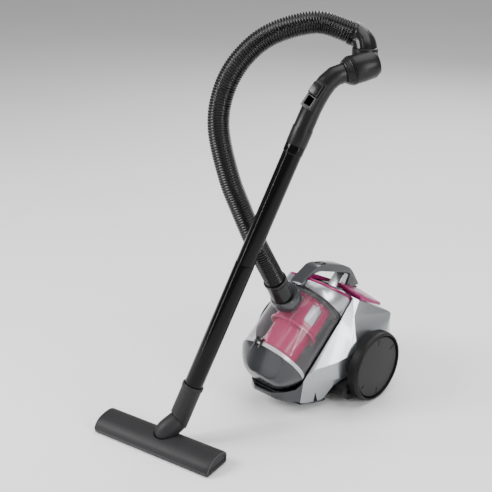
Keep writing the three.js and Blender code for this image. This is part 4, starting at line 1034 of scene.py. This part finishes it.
@dataclass
class DustBin:
    """The lift-out bin: cup, cyclone, lid, handle and inlet."""

    bench: Bench
    radius: float = 68.0

    def build(self) -> None:
        """Makes the bin's pieces."""
        soft = self.bench.softened
        self._cup()
        self._cyclone()
        self._base_cap()
        soft("base_catch", "base_catch", "black_plastic", 0.5)
        soft("cap_hinge_pin", "bin", "steel", 0.2)
        soft("bin_lid", "bin", "silver_shell", 1.0, 30.0, sharp=34.0, finish="silver_lid")
        soft("lid_trim", "bin", "magenta", 1.0, 30.0, sharp=34.0)
        soft("lid_seal", "bin", "seal_rubber", 0.4)
        soft("pre_motor_filter", "bin", "foam", 0.6)
        soft("carry_handle", "bin", "grey_trim", 2.0, 20.0, 4)
        soft("release_button", "release_button", "black_plastic", 0.8)
        soft("handle_column", "bin", "silver_shell", 1.6, 25.0, finish="silver_lid")
        soft("handle_foot", "bin", "charcoal_plastic", 0.8)
        soft("inlet_elbow", "bin", "grey_trim", 0.8, 35.0, sharp=34.0)

    def _base_cap(self) -> None:
        """The bowl under the cup, with a flat facet low at its front."""
        outer = self.radius + 1
        bowl = [(0, -44), (20, -43.6), (32, -43), (42, -38), (47, -34), (53.5, -27), (59, -20), (63.5, -13),
                (67, -7), (68.2, -4), (outer, -2.4), (outer, -0.4), (outer - 3, -0.4), (outer - 5, -7),
                (56, -18.5), (45, -31.5), (31, -40), (0, -41)]
        flat = Place((0.0, 0.0, 0.0))
        made = self.bench.turned("base_cap_bowl", rounded_corners(bowl, 3.0, False), flat, "grey_trim",
                                 160, ring=False)
        normal, reach, flatness = Vector((0.25, -0.70, -0.67)).normalized(), 47.5, 0.93
        back = flat.matrix.inverted()
        for vertex in made.data.vertices:
            local = back @ vertex.co
            excess = local.dot(normal) - reach
            if excess > 0:
                local -= normal * excess * flatness
            vertex.co = BIN.matrix @ local
        made.data.set_sharp_from_angle(angle=math.radians(20))
        self.bench.keep(made, "bin", "grey_trim", "base_cap")

    def _cup(self) -> None:
        """The clear cup and the pale band round its foot."""
        soft = self.bench.softened
        soft("bin_cup", "bin", "clear_cup", 0.4, 40.0, sharp=34.0)
        band = [(66, 0), (69, 0), (69, 7), (68.2, 7.6), (66, 7.6)]
        made = self.bench.turned("bin_band_round", band, BIN, "pale_plastic", 128, 0.3)
        self.bench.keep(made, "bin", "pale_plastic", "bin_band")

    def _cyclone(self) -> None:
        """The cyclone in its three pieces, in the magenta plastic painted lighter, and the filter inside it."""
        soft = self.bench.softened
        soft("cyclone_upper", "bin", "magenta", 0.6, 35.0, sharp=34.0, finish="cyclone_pink")
        soft("filter_cartridge", "bin", "pale_plastic", 0.4, 35.0, sharp=34.0)
        flange = [(40.6, 78), (49, 72.5), (51, 73), (51, 78), (47, 83.6), (40.6, 83.6)]
        made = self.bench.turned("cyclone_flange_round", flange, BIN, "cyclone_pink", 96, 0.8)
        self.bench.keep(made, "bin", "magenta", "cyclone_flange")
        lower = [(36, 12), (48, 12), (48, 15), (40, 18), (40, 77), (36, 77)]
        made = self.bench.turned("cyclone_lower_round", lower, BIN, "cyclone_pink", 96, 0.8)
        self.bench.keep(made, "bin", "magenta", "cyclone_lower")


@dataclass
class CanisterBody:
    """The body shell, bumper, chassis, pedals and what is inside."""

    bench: Bench

    def build(self) -> None:
        """Makes the body's pieces."""
        soft = self.bench.softened
        soft("body_shell", "canister", "silver_shell", 2.2, 24.0, 4, 26.0)
        soft("chin_bumper", "canister", "grey_trim", 2.2, 24.0, 4, 26.0)
        soft("chassis_base", "canister", "grey_trim", 0.8)
        for side in Side:
            soft(f"axle_bracket_{side.word}", "canister", "charcoal_plastic", 1.0)
        for name in ("power_pedal", "rewind_pedal"):
            soft(name, name, "magenta", 2.6, 25.0, 4, trim=((0.0, 2.0, 200.0), (0.0, -1.0, -0.25)))
        for node, body, slot, width in (
                ("motor_housing", "canister", "grey_trim", 0.8),
                ("motor_rotor", "motor_rotor", "steel", 0.5),
                ("cord_reel", "cord_reel", "black_plastic", 0.5),
                ("reel_spindle", "canister", "steel", 0.4),
                ("exhaust_filter", "canister", "foam", 0.4),
                ("exhaust_grille", "exhaust_grille", "charcoal_plastic", 0.5),
                ("cord_outlet", "canister", "charcoal_plastic", 0.4)):
            soft(node, body, slot, width)


@dataclass
class Studio:
    """The floor, the lights and the camera."""

    eye: tuple[float, float, float] = (1.10805, -1.2239, 1.0204)
    right: tuple[float, float, float] = (0.7254, 0.6884, 0.0)
    back: tuple[float, float, float] = (0.6369, -0.6711, 0.3795)
    lens: float = 69.5

    def build(self) -> None:
        """Sets up the studio."""
        self._camera()
        self._floor()
        self._light("key", (-1.3, -1.7, 1.9), 1.2, 70.0)
        self._light("over", (0.3, 0.4, 3.0), 2.4, 75.0)
        self._light("side", (2.6, 0.2, 1.3), 0.9, 30.0)
        self._light("back", (-0.8, 2.4, 1.8), 1.4, 30.0)
        self._light("strip_left", (-1.3, -2.2, 0.9), 0.07, 26.0, 2.4)
        self._light("strip_right", (2.3, -0.3, 0.9), 0.07, 22.0, 2.4)
        world = bpy.data.worlds.new("studio")
        world.use_nodes = True
        world.node_tree.nodes["Background"].inputs["Color"].default_value = (1.0, 1.0, 1.0, 1.0)
        world.node_tree.nodes["Background"].inputs["Strength"].default_value = 0.4
        bpy.context.scene.world = world

    def _camera(self) -> None:
        """The camera at its viewing angle."""
        data = bpy.data.cameras.new("camera")
        data.lens = self.lens
        data.sensor_width = 36.0
        made = bpy.data.objects.new("camera", data)
        bpy.context.scene.collection.objects.link(made)
        back, right = Vector(self.back).normalized(), Vector(self.right).normalized()
        up = back.cross(right).normalized()
        turn = Matrix((back.cross(up) * -1, up, back)).transposed()
        made.matrix_world = Matrix.Translation(self.eye) @ turn.to_4x4()
        bpy.context.scene.camera = made

    def _floor(self) -> None:
        """A plain pale floor."""
        mesh = bpy.data.meshes.new("floor")
        size = 14.0
        corners = [(-size, -size, 0), (size, -size, 0), (size, size, 0), (-size, size, 0)]
        mesh.from_pydata(corners, [], [(0, 1, 2, 3)])
        floor = bpy.data.objects.new("floor", mesh)
        bpy.context.scene.collection.objects.link(floor)
        graph = Graph("floor")
        tone = graph.mix(graph.noise(2.0), (0.86, 0.86, 0.86, 1.0), (0.9, 0.9, 0.9, 1.0))
        shader = graph.node("ShaderNodeBsdfPrincipled", {}, {"Base Color": tone, "Roughness": 0.6})
        mesh.materials.append(graph.surface(shader))

    @staticmethod
    def _light(name: str, at: Point, size: float, power: float, height: float = 0.0) -> None:
        """An area light that points at the cleaner, square or as tall as a given height."""
        data = bpy.data.lights.new(name, "AREA")
        data.size = size
        if height:
            data.shape = "RECTANGLE"
            data.size_y = height
        data.energy = power
        made = bpy.data.objects.new(name, data)
        bpy.context.scene.collection.objects.link(made)
        aim = Vector((0.0, 0.0, 0.25)) - Vector(at)
        made.matrix_world = Matrix.Translation(at) @ aim.to_track_quat("-Z", "Y").to_matrix().to_4x4()


def main() -> None:
    """Builds the scene in order."""
    logging.basicConfig(level=logging.INFO, format="%(message)s")
    Studio().build()
    bench = Bench(Finishes(FINISHES))
    for part in (Hose, Wand, FloorHead, Wheels, DustBin, CanisterBody):
        part(bench).build()
        LOG.info("built %s", part.__name__)


if __name__ == "__main__":
    main()
